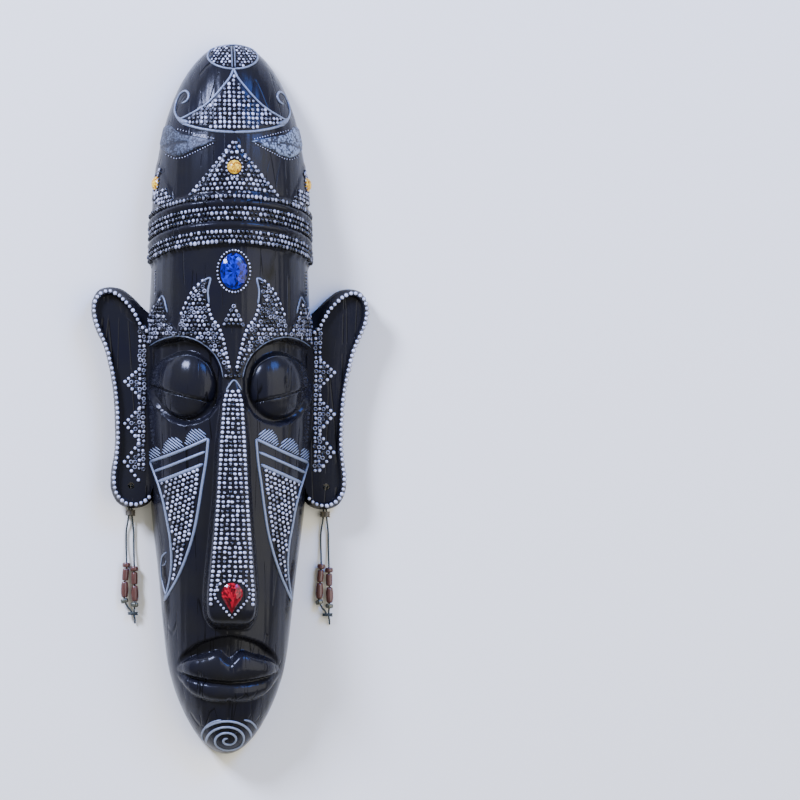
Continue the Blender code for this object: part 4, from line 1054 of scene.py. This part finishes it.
def face_lines():
    """Fainter lines: worn edges of the eyelids, sockets and brow, the point at the root of the nose and
    the hook on the left cheek.
    """
    lid = [(x, float(smooth_curve(x, LID_LINE)) - 0.9) for x in (14, 20, 26, 32, 38)]
    over = [(11.5, 12), (14, 17.5), (19, 21.6), (26, 23.6), (32, 22.6)]
    sockets = [(5.2, 11.5), (6.6, 17.7), (10, 24.2), (15, 29.0), (20, 32.0), (30, 34.2), (39, 32.0),
               (44.4, 28.7)]
    tip = [(13.4, 52), (14.0, 59), (13.0, 66), (17.6, 63.4)]
    last = [(35.4, 47), (36.2, 51), (38, 56), (40.6, 51.4)]
    hook = [(-34.6, -84.4), (-36.2, -86), (-37.0, -90), (-37.0, -95), (-36.4, -100), (-35.2, -105),
            (-33.8, -110)]
    barb = [(-36.8, -92), (-35.2, -91.2), (-34.6, -88.8)]
    apex = [(-3.6, 4.8), (0.6, 10.2), (4.8, 4.8)]
    return mirrored([(lid, 0.4, 0.2, 0.22), (over, 0.5, 0.28, 0.28),
                     (sockets, 0.8, 0.45, 0.55), (tip, 1.2, 0.7, 0.75), (last, 1.1, 0.6, 0.65)]) + [
        (hook, 1.1, 0.5, 0.8), (barb, 0.8, 0.4, 0.7), (apex, 0.9, 0.6, 0.8)]


def make_leaves(material):
    """The two leaves under the curved triangle: thin plates of stippled paint on the carving,
    split by a dark line, as strips across their width."""
    top = np.array([(9.5, 141), (20, 143.3), (29.5, 146), (34, 150), (38.5, 149.5), (39.8, 143)])
    foot = np.array([(9.5, 140.8), (20, 136.5), (27, 133), (31, 132.4), (36, 135.2), (39.8, 138.5)])
    upper = smooth_path(top, LEAF_COLUMNS)
    lower = smooth_path(foot, LEAF_COLUMNS)
    share = np.linspace(0.0, 1.0, LEAF_ROWS)[:, None, None]
    for side_name, sign, cover in (("right", 1, 1.0), ("left", -1, 0.42)):
        places = upper[None] * (1 - share) + lower[None] * share
        theta, phi = head_place(sign * places[..., 0], places[..., 1])
        points, normals = carved_frame(theta, phi)
        split = line_distance(places[..., 0], places[..., 1], ((25, 140.3), (31, 139.6), (37, 137.6)))
        edge = np.minimum(share[..., 0], 1 - share[..., 0]) * 12.0
        lift = 0.42 * smooth_step(edge, 0.0, 1.0) * smooth_step(split, 0.2, 0.8)
        front = points + normals * lift[..., None]
        back = points - normals * 0.25
        sections = np.concatenate([front, back[::-1]]).transpose(1, 0, 2)
        leaf = make_mesh(f"leaf_{side_name}", sections.reshape(-1, 3) * UNIT,
                         [tube_faces(LEAF_COLUMNS, LEAF_ROWS * 2),
                          end_caps(LEAF_COLUMNS, LEAF_ROWS * 2)])
        turn_outward(leaf)
        silver = np.concatenate([cover * (0.2 + 0.9 * smooth_step(split, 0.3, 0.9)),
                                 np.zeros_like(split)]).T
        set_attribute(leaf, "silver", silver.ravel())
        finish_piece(leaf, material, "casting")


def seat_frame(place):
    """Frame of a stone seat: its origin on the carved surface, +Z outward and +Y up the mask."""
    share, y = place
    points, normals = carved_frame(np.array([math.asin(share)]), np.array([math.asin(y / HALF_HEIGHT)]))
    out = Vector(normals[0])
    up = (Vector((0, 1, 0)) - out * out.y).normalized()
    turn = Matrix((up.cross(out), up, out)).transposed().to_4x4()
    return Matrix.Translation(Vector(points[0]) * UNIT) @ turn


def oval_outline(size, grow, count):
    """Ellipse of the given width and height, grown all round."""
    angles = np.linspace(0.0, 2 * math.pi, count, endpoint=False)
    return np.stack([(size[0] / 2 + grow) * np.cos(angles), (size[1] / 2 + grow) * np.sin(angles)],
                    axis=1)


def drop_outline(size, grow, count):
    """Drop with its point down: a circle above, and sides that run straight to the point."""
    radius = size[0] / 2 + grow
    centre = size[1] / 2 - size[0] / 2
    tip = -size[1] / 2 - grow * TIP_CLEARANCE
    reach = math.asin(radius / (centre - tip))
    angles = np.linspace(-reach, math.pi + reach, count - 1)
    arc = np.stack([radius * np.cos(angles), centre + radius * np.sin(angles)], axis=1)
    return np.concatenate([arc, [[0.0, tip]]])


def make_stone(name, outline, size, place, count, material, slot):
    """Cut stone in its seat: a girdle, rings of facets that step in towards the middle, each
    turned half a facet from the last, and a closed flat back. Every facet gets a random painted
    glint: a value that its material turns into a lighter or darker tone, standing in for how the
    facet catches the light."""
    flat = outline(size, 0.0, count)
    half_turned = (flat + np.roll(flat, -1, axis=0)) / 2
    floor = -SEAT_DEPTH + FIT_GAP
    levels = [(flat, 0.98, 0.0), (flat, 0.995, STONE_GIRDLE)]
    for ring, share, rise in ((half_turned, 0.86, 0.35), (flat, 0.66, 0.68), (half_turned, 0.42, 0.9),
                              (flat, 0.16, 0.97)):
        levels.append((ring, share, STONE_GIRDLE + STONE_CROWN * rise))
    rings = [np.concatenate([ring * share, np.full((count, 1), floor + height)], axis=1)
             for ring, share, height in levels]
    points = np.concatenate(rings)
    index = np.arange(count)
    after = (index + 1) % count
    quads = np.stack([index, after, count + after, count + index], axis=1)
    triangles = []
    for ring in range(1, len(rings) - 1):
        low, high = ring * count, (ring + 1) * count
        if ring % 2:
            triangles += [np.stack([low + index, low + after, high + index], axis=1),
                          np.stack([high + index, low + after, high + after], axis=1)]
        else:
            triangles += [np.stack([low + index, high + after, high + index], axis=1),
                          np.stack([low + index, low + after, high + after], axis=1)]
    last = (len(rings) - 1) * count
    caps = np.array([index[::-1], last + index])
    turn = np.array(seat_frame(place))
    placed = points @ turn[:3, :3].T + turn[:3, 3]
    stone = make_mesh(name, placed, [quads, np.concatenate(triangles), caps], smooth=False)
    turn_outward(stone)
    faces = len(stone.data.polygons)
    # Random value per facet: painted glints, standing in for how each facet catches the light.
    painted_glint = stone.data.attributes.new("painted_glint", "FLOAT", "FACE")
    painted_glint.data.foreach_set("value", CHANCE.random(faces).astype(np.float32) ** 1.6)
    return finish_piece(stone, material, slot, name.removesuffix("_cut"))


def round_tube(name, path, radius, around, square_to):
    """Closed tube: sections square to the path, of the given radius at every angle around it."""
    tangent = unit_rows(np.gradient(path, axis=0))
    across = unit_rows(np.cross(tangent, square_to))
    other = np.cross(tangent, across)
    points = (path[:, None] + across[:, None] * (radius * np.cos(around))[..., None]
              + other[:, None] * (radius * np.sin(around))[..., None])
    tube = make_mesh(name, points.reshape(-1, 3),
                     [tube_faces(len(path), len(around)), end_caps(len(path), len(around))])
    turn_outward(tube)
    return tube


def make_cord(side_name, strand, hole, material):
    """Laid cord: a tube whose section has three lobes that turn as they go along its route. Both
    ends are rounded."""
    fine = smooth_path(CORD_ROUTES[strand], 800)
    length = float(np.linalg.norm(np.diff(fine, axis=0), axis=1).sum())
    path = smooth_path(fine, round(length / CORD_STEP)) + hole
    turns = np.linspace(0.0, 2 * np.pi, CORD_SIDES, endpoint=False)
    along = np.linspace(0.0, length, len(path))
    twist = STRANDS * (turns[None] - 2 * np.pi * along[:, None] / STRAND_LAY)
    ends = np.minimum(along, length - along)
    radius = CORD_DIAMETER / 2 * (0.86 + 0.13 * np.cos(twist))
    rounding = 1.0 - (1.0 - ends / CORD_END).clip(0.0, 0.98) ** 2
    radius = radius * np.sqrt(np.clip(rounding, 0, 1))[:, None]
    cord = round_tube(f"tassel_{side_name}_cord_{strand}_laid", path, radius, turns, [0.0, 0.31, 0.95])
    # Stored value is -1 in the grooves between the strands and 1 on their crests: it leads the painted
    # shade.
    set_attribute(cord, "twist", np.cos(twist).ravel())
    finish_piece(cord, material, "cord", f"tassel_{side_name}_cord_{strand}")
    return cord, path, length


def bead_pose(strand, hole, y):
    """Matrix that centres a bead on its cord at height y, with its bore along the cord."""
    fine = smooth_path(CORD_ROUTES[strand], 400)
    index = int(np.argmin(np.abs(fine[:, 1] - y)))
    along = Vector(fine[index + 3] - fine[index - 3]).normalized()
    across = along.cross(Vector((0, 0, 1))).normalized()
    turn = Matrix((across, along.cross(across), along)).transposed().to_4x4()
    return Matrix.Translation(Vector(fine[index] + hole)) @ turn


def bead_profile(size, bore, swell):
    """Closed outline of a turned bead: its outside bulges by a sine between two rounded ends."""
    radius, half = size[0] / 2, size[1] / 2
    share = np.linspace(-1.0, 1.0, 15)
    outside = radius * (1.0 - swell * np.abs(share) ** 2.4)
    outside[[0, -1]] = (outside[0] + bore) / 2
    outside[[1, -2]] = outside[[2, -3]] * 0.97
    return [(r, half * y) for r, y in zip(outside, np.sign(share) * np.abs(share) ** 0.8)] + [
        (bore, half * 0.96), (bore, -half * 0.96)]


def make_strand(side_name, strand, hole, finishes):
    """The four beads of one cord, each stacked under the one before."""
    bore = CORD_DIAMETER / 2 + BORE_GAP
    beads = []
    y = FIRST_BEAD[strand] + COLLAR_BEAD[1] / 2
    for kind, size, swell, share, petals, finish in CORD_BEADS:
        name = f"tassel_{side_name}_{kind}_bead_{strand}"
        y -= size[1] / 2
        bead = turned_piece(f"{name}_turned", bead_profile((size[0] * share, size[1]), bore, swell),
                            32, bead_pose(strand, hole, y), petals=petals)
        y -= size[1] / 2 + BEAD_GAP
        beads.append(finish_piece(bead, finishes[finish], finish, name))
    return beads


def make_knot(side_name, kind, centre, size, hole, wraps, material, slot):
    """Thread wound round both cords: a coil of several turns with a flattened loop, its ends
    tucked in under the first and last turns."""
    count = KNOT_STEPS * wraps
    turns = np.linspace(0.0, 2 * np.pi * wraps, count)
    thick = min(size[1] / wraps * 0.56, KNOT_WIRE * 0.52)
    wide = size[0] / 2 - thick
    deep = size[0] / 2 * KNOT_FLATNESS - thick
    rise = np.linspace(size[1] / 2 - thick, -size[1] / 2 + thick, count)
    wave = 0.00012 * np.sin(turns * 0.37 + 1.0)
    path = np.stack([(wide + wave) * np.cos(turns), rise, deep * np.sin(turns)], axis=1)
    around = np.linspace(0.0, 2 * np.pi, KNOT_SIDES, endpoint=False)
    knot = round_tube(f"tassel_{side_name}_{kind}_wound", path + centre + hole, thick, around,
                      [0.0, 1.0, 0.0])
    # Stripes twisting round the thread, shaded dark and light: painted shade between plies that are not
    # modelled.
    set_attribute(knot, "twist", np.cos(2 * around[None] + turns[:, None] * 6).ravel())
    return finish_piece(knot, material, slot, f"tassel_{side_name}_{kind}")


def make_tassel(side_name, hole, finishes):
    """One ear tassel: two cords through the lobe hole, wound together above and knotted below,
    with four beads on each."""
    upper = make_knot(side_name, "upper_knot", UPPER_KNOT, UPPER_KNOT_SIZE, hole, 6,
                      finishes["knot_thread"], "knot_thread")
    end = make_knot(side_name, "end_knot", END_KNOT, END_KNOT_SIZE, hole, 3, finishes["cord"], "cord")
    for strand, far_end, knots in (("a", "knot", [upper, end]), ("b", "bare", [])):
        cord, path, length = make_cord(side_name, strand, hole, finishes["cord"])
        beads = make_strand(side_name, strand, hole, finishes)


def new_material(name):
    """Material with its node tree and shader."""
    material = bpy.data.materials.new(name)
    material.use_nodes = True
    tree = material.node_tree
    return material, tree, tree.nodes["Principled BSDF"]


def add_node(tree, kind, inputs=None, **settings):
    """Node with its settings made first, and then its inputs: each takes a number or colour, or
    is linked where it is given another node's output."""
    node = tree.nodes.new(kind)
    for key, value in settings.items():
        setattr(node, key, value)
    for key, value in (inputs or {}).items():
        if isinstance(value, bpy.types.NodeSocket):
            tree.links.new(value, node.inputs[key])
        else:
            node.inputs[key].default_value = value
    return node


def add_place(tree, stretch=None):
    """The place on the object, stretched along its axes where that is asked."""
    place = tree.nodes.new("ShaderNodeTexCoord").outputs["Object"]
    if stretch is None:
        return place
    return add_node(tree, "ShaderNodeMapping", {"Scale": stretch, "Vector": place}).outputs[0]


def add_noise(tree, place, **inputs):
    """Noise from 0 to 1 at a place."""
    return add_node(tree, "ShaderNodeTexNoise", {"Vector": place, **inputs}).outputs["Fac"]


def add_math(tree, operation, *values):
    """An operation on values, in the order of its inputs."""
    return add_node(tree, "ShaderNodeMath", dict(enumerate(values)), operation=operation).outputs[0]


def add_range(tree, value, low=0.0, high=1.0, to_low=0.0, to_high=1.0):
    """A value brought from one range to another and held inside it."""
    return add_node(tree, "ShaderNodeMapRange",
                    {"Value": value, "From Min": low, "From Max": high, "To Min": to_low,
                     "To Max": to_high}).outputs[0]


def add_blend(tree, share, first, second):
    """Two colours mixed: the first where the share is 0 and the second where it is 1."""
    return add_node(tree, "ShaderNodeMix", {"Factor": share, "A": first, "B": second},
                    data_type="RGBA").outputs["Result"]


def add_bump(tree, shader, height, strength, distance):
    """Bump from a height, led into the shader's normal."""
    bump = add_node(tree, "ShaderNodeBump",
                    {"Height": height, "Strength": strength, "Distance": distance})
    tree.links.new(bump.outputs[0], shader.inputs["Normal"])


def add_stored(tree, name):
    """The number that a piece stores under a name."""
    return add_node(tree, "ShaderNodeAttribute", attribute_name=name).outputs["Fac"]


def add_group(tree, group):
    """Outputs of a shared node group placed in a material."""
    return add_node(tree, "ShaderNodeGroup", node_tree=group).outputs


def grain_group():
    """Node group: carved wood under paint. Fine upright grain and sparse upright cracks, as a
    height for the bump, the cracks' place and a mottle for the colour."""
    group = bpy.data.node_groups.new("Painted grain", "ShaderNodeTree")
    for name in ("Height", "Crack", "Mottle"):
        group.interface.new_socket(name, in_out="OUTPUT", socket_type="NodeSocketFloat")
    leave = group.nodes.new("NodeGroupOutput")
    upright = add_place(group, (1.0, 0.07, 1.0))
    grain = add_noise(group, upright, Scale=620.0, Detail=4.0, Roughness=0.62, Distortion=0.3)
    broad = add_noise(group, upright, Scale=150.0, Detail=3.0, Roughness=0.55, Distortion=0.8)
    cells = add_node(group, "ShaderNodeTexVoronoi",
                     {"Vector": add_place(group, (1.0, 0.05, 0.6)), "Scale": 130.0,
                      "Randomness": 1.0}, feature="DISTANCE_TO_EDGE")
    crack = add_range(group, cells.outputs["Distance"], 0.0, 0.03, 1.0, 0.0)
    patch = add_noise(group, add_place(group), Scale=55.0, Detail=2.0)
    cracked = add_math(group, "MULTIPLY", crack, add_range(group, patch, 0.48, 0.56))
    mixed = add_math(group, "MULTIPLY_ADD", grain, 0.6, broad)
    height = add_math(group, "MULTIPLY_ADD", cracked, -3.5, mixed)
    for name, value in (("Height", height), ("Crack", cracked), ("Mottle", patch)):
        group.links.new(value, leave.inputs[name])
    return group


def silver_group():
    """Node group: silver paint dragged over raised work. The brightness stored on the piece is
    broken up by fine noise, and comes out as how much paint covers a place. On the beads that
    stored brightness also holds a painted highlight on their tops and painted shade at their feet."""
    group = bpy.data.node_groups.new("Dragged silver", "ShaderNodeTree")
    group.interface.new_socket("Cover", in_out="OUTPUT", socket_type="NodeSocketFloat")
    leave = group.nodes.new("NodeGroupOutput")
    stored = add_stored(group, "silver")
    speck = add_noise(group, add_place(group), Scale=1500.0, Detail=3.0, Roughness=0.6)
    spread = add_math(group, "MULTIPLY_ADD", speck, 0.9, -0.45)
    total = add_math(group, "ADD", stored, spread)
    group.links.new(add_range(group, total, 0.32, 0.92), leave.inputs["Cover"])
    return group


def casting_material(groups):
    """Black lacquered wood: near-black mottled from warm to cold, semi-gloss, with upright grain
    and cracks, and faint specks of dragged silver."""
    material, tree, shader = new_material("Black lacquered wood")
    grain = add_group(tree, groups["grain"])
    silver = add_group(tree, groups["silver"])
    tone = add_blend(tree, grain["Mottle"], (0.0150, 0.0140, 0.0110, 1), (0.0040, 0.0044, 0.0115, 1))
    # Cracks darkened almost to black: painted shade inside the cracks, over their dip in the bump.
    dark = add_blend(tree, grain["Crack"], tone, (0.0010, 0.0010, 0.0010, 1))
    worn = add_blend(tree, silver["Cover"], dark, (0.36, 0.40, 0.50, 1))
    tree.links.new(worn, shader.inputs["Base Color"])
    rough = add_range(tree, grain["Mottle"], to_low=0.14, to_high=0.28)
    tree.links.new(rough, shader.inputs["Roughness"])
    shader.inputs["Specular IOR Level"].default_value = 0.15
    add_bump(tree, shader, grain["Height"], 0.22, 0.0005)
    return material


def silver_material(name, groups, bright, base):
    """Raised work: black between, with silver-blue paint on what stands up; on the beads it also
    carries a painted highlight on their tops and painted shade at their feet.
    """
    material, tree, shader = new_material(name)
    cover = add_group(tree, groups["silver"])["Cover"]
    tree.links.new(add_blend(tree, cover, (*base, 1), (*bright, 1)), shader.inputs["Base Color"])
    tree.links.new(add_range(tree, cover, to_low=0.25, to_high=0.5), shader.inputs["Roughness"])
    tree.links.new(add_math(tree, "MULTIPLY", cover, 0.35), shader.inputs["Metallic"])
    speck = add_noise(tree, add_place(tree), Scale=2600.0, Detail=2.0)
    add_bump(tree, shader, speck, 0.3, 0.0001)
    return material


def leaf_material(groups):
    """Thin silver-blue paint dabbed on with a stiff brush, so that black shows between the dabs."""
    material, tree, shader = new_material("Stippled paint")
    cover = add_group(tree, groups["silver"])["Cover"]
    place = add_place(tree)
    dab = add_node(tree, "ShaderNodeTexVoronoi",
                   {"Vector": place, "Scale": 760.0, "Randomness": 1.0}).outputs["Distance"]
    total = add_math(tree, "ADD", dab, add_noise(tree, place, Scale=160.0, Detail=2.0))
    dabbed = add_math(tree, "MULTIPLY", add_range(tree, total, 0.85, 1.15, 1.0, 0.0), cover)
    tone = add_blend(tree, dabbed, (0.008, 0.009, 0.014, 1), (0.19, 0.24, 0.32, 1))
    tree.links.new(tone, shader.inputs["Base Color"])
    shader.inputs["Roughness"].default_value = 0.5
    shader.inputs["Metallic"].default_value = 0.2
    add_bump(tree, shader, dab, 0.5, 0.0002)
    return material


def stone_material(name, deep, clear, painted_glow):
    """Foil-backed stone under a polished coat: every facet has its own tone between a deep and a
    clear colour, set by its painted glint, which stands in for how each facet catches the light.
    The same colour is also given off as light: a painted glow, though the stone is no lamp."""
    material, tree, shader = new_material(name)
    # Facet tone from the painted glint: painted reflections, lighter and darker facet by facet.
    stored = add_stored(tree, "painted_glint")
    drift = add_noise(tree, add_place(tree), Scale=420.0, Detail=1.0)
    total = add_math(tree, "MULTIPLY_ADD", drift, 0.5, stored)
    tone = add_blend(tree, add_range(tree, total, 0.2, 1.25), (*deep, 1), (*clear, 1))
    tree.links.new(tone, shader.inputs["Base Color"])
    # The stone gives off its own colour as light: painted glow, though it is no lamp.
    tree.links.new(tone, shader.inputs["Emission Color"])
    shader.inputs["Emission Strength"].default_value = painted_glow
    shader.inputs["Roughness"].default_value = 0.08
    shader.inputs["Specular IOR Level"].default_value = 0.25
    shader.inputs["Coat Weight"].default_value = 0.15
    shader.inputs["Coat Roughness"].default_value = 0.03
    return material


def bead_material():
    """Red-brown polished beads with darker streaks along their length."""
    material, tree, shader = new_material("Red-brown beads")
    streak = add_noise(tree, add_place(tree, (1.0, 0.25, 1.0)), Scale=1500.0, Detail=3.0,
                       Distortion=0.6)
    tone = add_blend(tree, streak, (0.016, 0.006, 0.004, 1), (0.17, 0.062, 0.042, 1))
    tree.links.new(tone, shader.inputs["Base Color"])
    shader.inputs["Roughness"].default_value = 0.22
    add_bump(tree, shader, streak, 0.15, 0.0001)
    return material


def metal_material():
    """Small cast beads of dark brassy metal, brighter where they are rubbed."""
    material, tree, shader = new_material("Dark metal beads")
    tarnish = add_noise(tree, add_place(tree), Scale=900.0, Detail=3.0)
    tone = add_blend(tree, tarnish, (0.035, 0.040, 0.030, 1), (0.22, 0.22, 0.16, 1))
    tree.links.new(tone, shader.inputs["Base Color"])
    shader.inputs["Metallic"].default_value = 0.75
    shader.inputs["Roughness"].default_value = 0.4
    add_bump(tree, shader, tarnish, 0.3, 0.0001)
    return material


def thread_material(name, dark, light):
    """Waxed thread: tone follows the lay of its strands, darker in the grooves between them and
    lighter on their crests, which is painted shade; fine fibres are in the bump.
    """
    material, tree, shader = new_material(name)
    shade = add_range(tree, add_stored(tree, "twist"), low=-1.0)
    tree.links.new(add_blend(tree, shade, (*dark, 1), (*light, 1)), shader.inputs["Base Color"])
    shader.inputs["Roughness"].default_value = 0.6
    fibre = add_noise(tree, add_place(tree), Scale=5200.0, Detail=2.0)
    add_bump(tree, shader, fibre, 0.5, 0.00008)
    return material


# Camera: the photograph covers 0.44 m, with the mask's middle left of its own, seen four degrees
# from the left, and its crown leaning half a degree to the right
FRAME_WIDTH = 0.44
CAMERA_DISTANCE = 5.0
CAMERA_TURN = math.radians(-4.1)
PICTURE_LEAN = math.radians(-0.48)
SENSOR_WIDTH = 36.0
AIM = Vector((0.0934, 0.0002, 0.020))

# Soft square lights that point at the middle of the mask: place, side, power and colour
LIGHTS = (("key", (-1.3, 1.4, 1.2), 0.55, 150.0, (0.52, 0.60, 1.0)),
          ("fill", (1.7, 0.1, 1.8), 2.6, 62.0, (1.0, 0.99, 0.97)),
          ("crown", (0.89, 1.25, 1.29), 0.7, 44.0, (0.08, 0.24, 1.0)))
FLOOR_REACH = 3.0
FLOOR_DROP = 0.0006


def make_camera():
    """Camera over the lying mask, looking down, crown up in the picture."""
    camera = bpy.data.cameras.new("Camera")
    camera.sensor_width = SENSOR_WIDTH
    camera.lens = SENSOR_WIDTH * CAMERA_DISTANCE / FRAME_WIDTH
    camera.clip_start = 0.1
    camera.clip_end = 50.0
    eye = bpy.data.objects.new("Camera", camera)
    turn = Matrix.Rotation(-PICTURE_LEAN, 4, "Z") @ Matrix.Rotation(CAMERA_TURN, 4, "Y")
    eye.matrix_world = Matrix.Translation(AIM) @ turn @ Matrix.Translation((0, 0, CAMERA_DISTANCE))
    bpy.context.scene.collection.objects.link(eye)
    bpy.context.scene.camera = eye


def make_light(name, place, side, power, color):
    """Soft square light pointed at the middle of the mask."""
    lamp = bpy.data.lights.new(name, "AREA")
    lamp.shape = "RECTANGLE"
    lamp.size = lamp.size_y = side
    lamp.energy = power
    lamp.color = color
    source = bpy.data.objects.new(name, lamp)
    source.location = place
    source.rotation_euler = (-Vector(place)).to_track_quat("-Z", "Y").to_euler()
    bpy.context.scene.collection.objects.link(source)


def make_surroundings():
    """Pale floor just under the mask, pale world and the lights."""
    corners = np.array([(-1, -1, 0), (1, -1, 0), (1, 1, 0), (-1, 1, 0)]) * FLOOR_REACH
    floor = make_mesh("floor", corners - [0, 0, FLOOR_DROP], [np.array([[0, 1, 2, 3]])], smooth=False)
    paper, _, shader = new_material("White floor")
    shader.inputs["Base Color"].default_value = (0.96, 0.91, 0.76, 1)
    shader.inputs["Roughness"].default_value = 0.9
    floor.data.materials.append(paper)
    world = bpy.data.worlds.new("World")
    world.use_nodes = True
    background = world.node_tree.nodes["Background"]
    background.inputs["Color"].default_value = (0.95, 0.97, 1.0, 1)
    background.inputs["Strength"].default_value = 0.5
    bpy.context.scene.world = world
    for light in LIGHTS:
        make_light(*light)


make_camera()
groups = {"grain": grain_group(), "silver": silver_group()}
casting = casting_material(groups)
raised = silver_material("Silvered beads", groups, (0.60, 0.61, 0.72), (0.004, 0.004, 0.006))
painted = silver_material("Painted lines", groups, (0.24, 0.28, 0.36), (0.015, 0.017, 0.022))
stippled = leaf_material(groups)
tassel_finishes = {"brown_bead": bead_material(), "metal_bead": metal_material(),
                   "cord": thread_material("Waxed cord", (0.008, 0.012, 0.009), (0.035, 0.045, 0.035)),
                   "knot_thread": thread_material("Gold thread", (0.02, 0.018, 0.012),
                                                  (0.17, 0.14, 0.085))}
blue = stone_material("Blue stone", (0.0, 0.0, 0.014), (0.0, 0.010, 0.44), 0.10)
amber = stone_material("Amber stone", (0.30, 0.08, 0.0), (1.0, 0.64, 0.04), 0.3)
red = stone_material("Red stone", (0.016, 0.0, 0.001), (0.46, 0.001, 0.016), 0.10)

for side_name, sign in (("right", 1), ("left", -1)):
    hole = np.array([sign * LOBE_CENTRE[0], LOBE_CENTRE[1], 0.0]) * UNIT
    make_tassel(side_name, hole, tassel_finishes)
make_head(casting)
for side_name, sign in (("right", 1), ("left", -1)):
    make_ear(side_name, sign, casting)
    make_ear_beads(side_name, sign, raised)
make_bands(raised)
make_crown_fields(raised)
make_brow(raised)
make_nose_strip(raised)
make_cheek_fields(raised)
make_dots(raised)
make_lines("crown_lines", crown_lines(), painted)
make_lines("chin_lines", chin_lines(), painted)
make_lines("cheek_lines", cheek_lines(), painted)
make_lines("face_lines", face_lines(), painted)
make_leaves(stippled)
make_stone("forehead_stone_cut", oval_outline, OVAL_STONE, FOREHEAD_SEAT, 18, blue, "blue_stone")
make_stone("nose_stone_cut", drop_outline, DROP_STONE, NOSE_SEAT, 15, red, "red_stone")
for key, place in CROWN_SEATS.items():
    make_stone(f"crown_stone_{key}_cut", oval_outline, ROUND_STONE, place, 12, amber, "amber_stone")
make_surroundings()
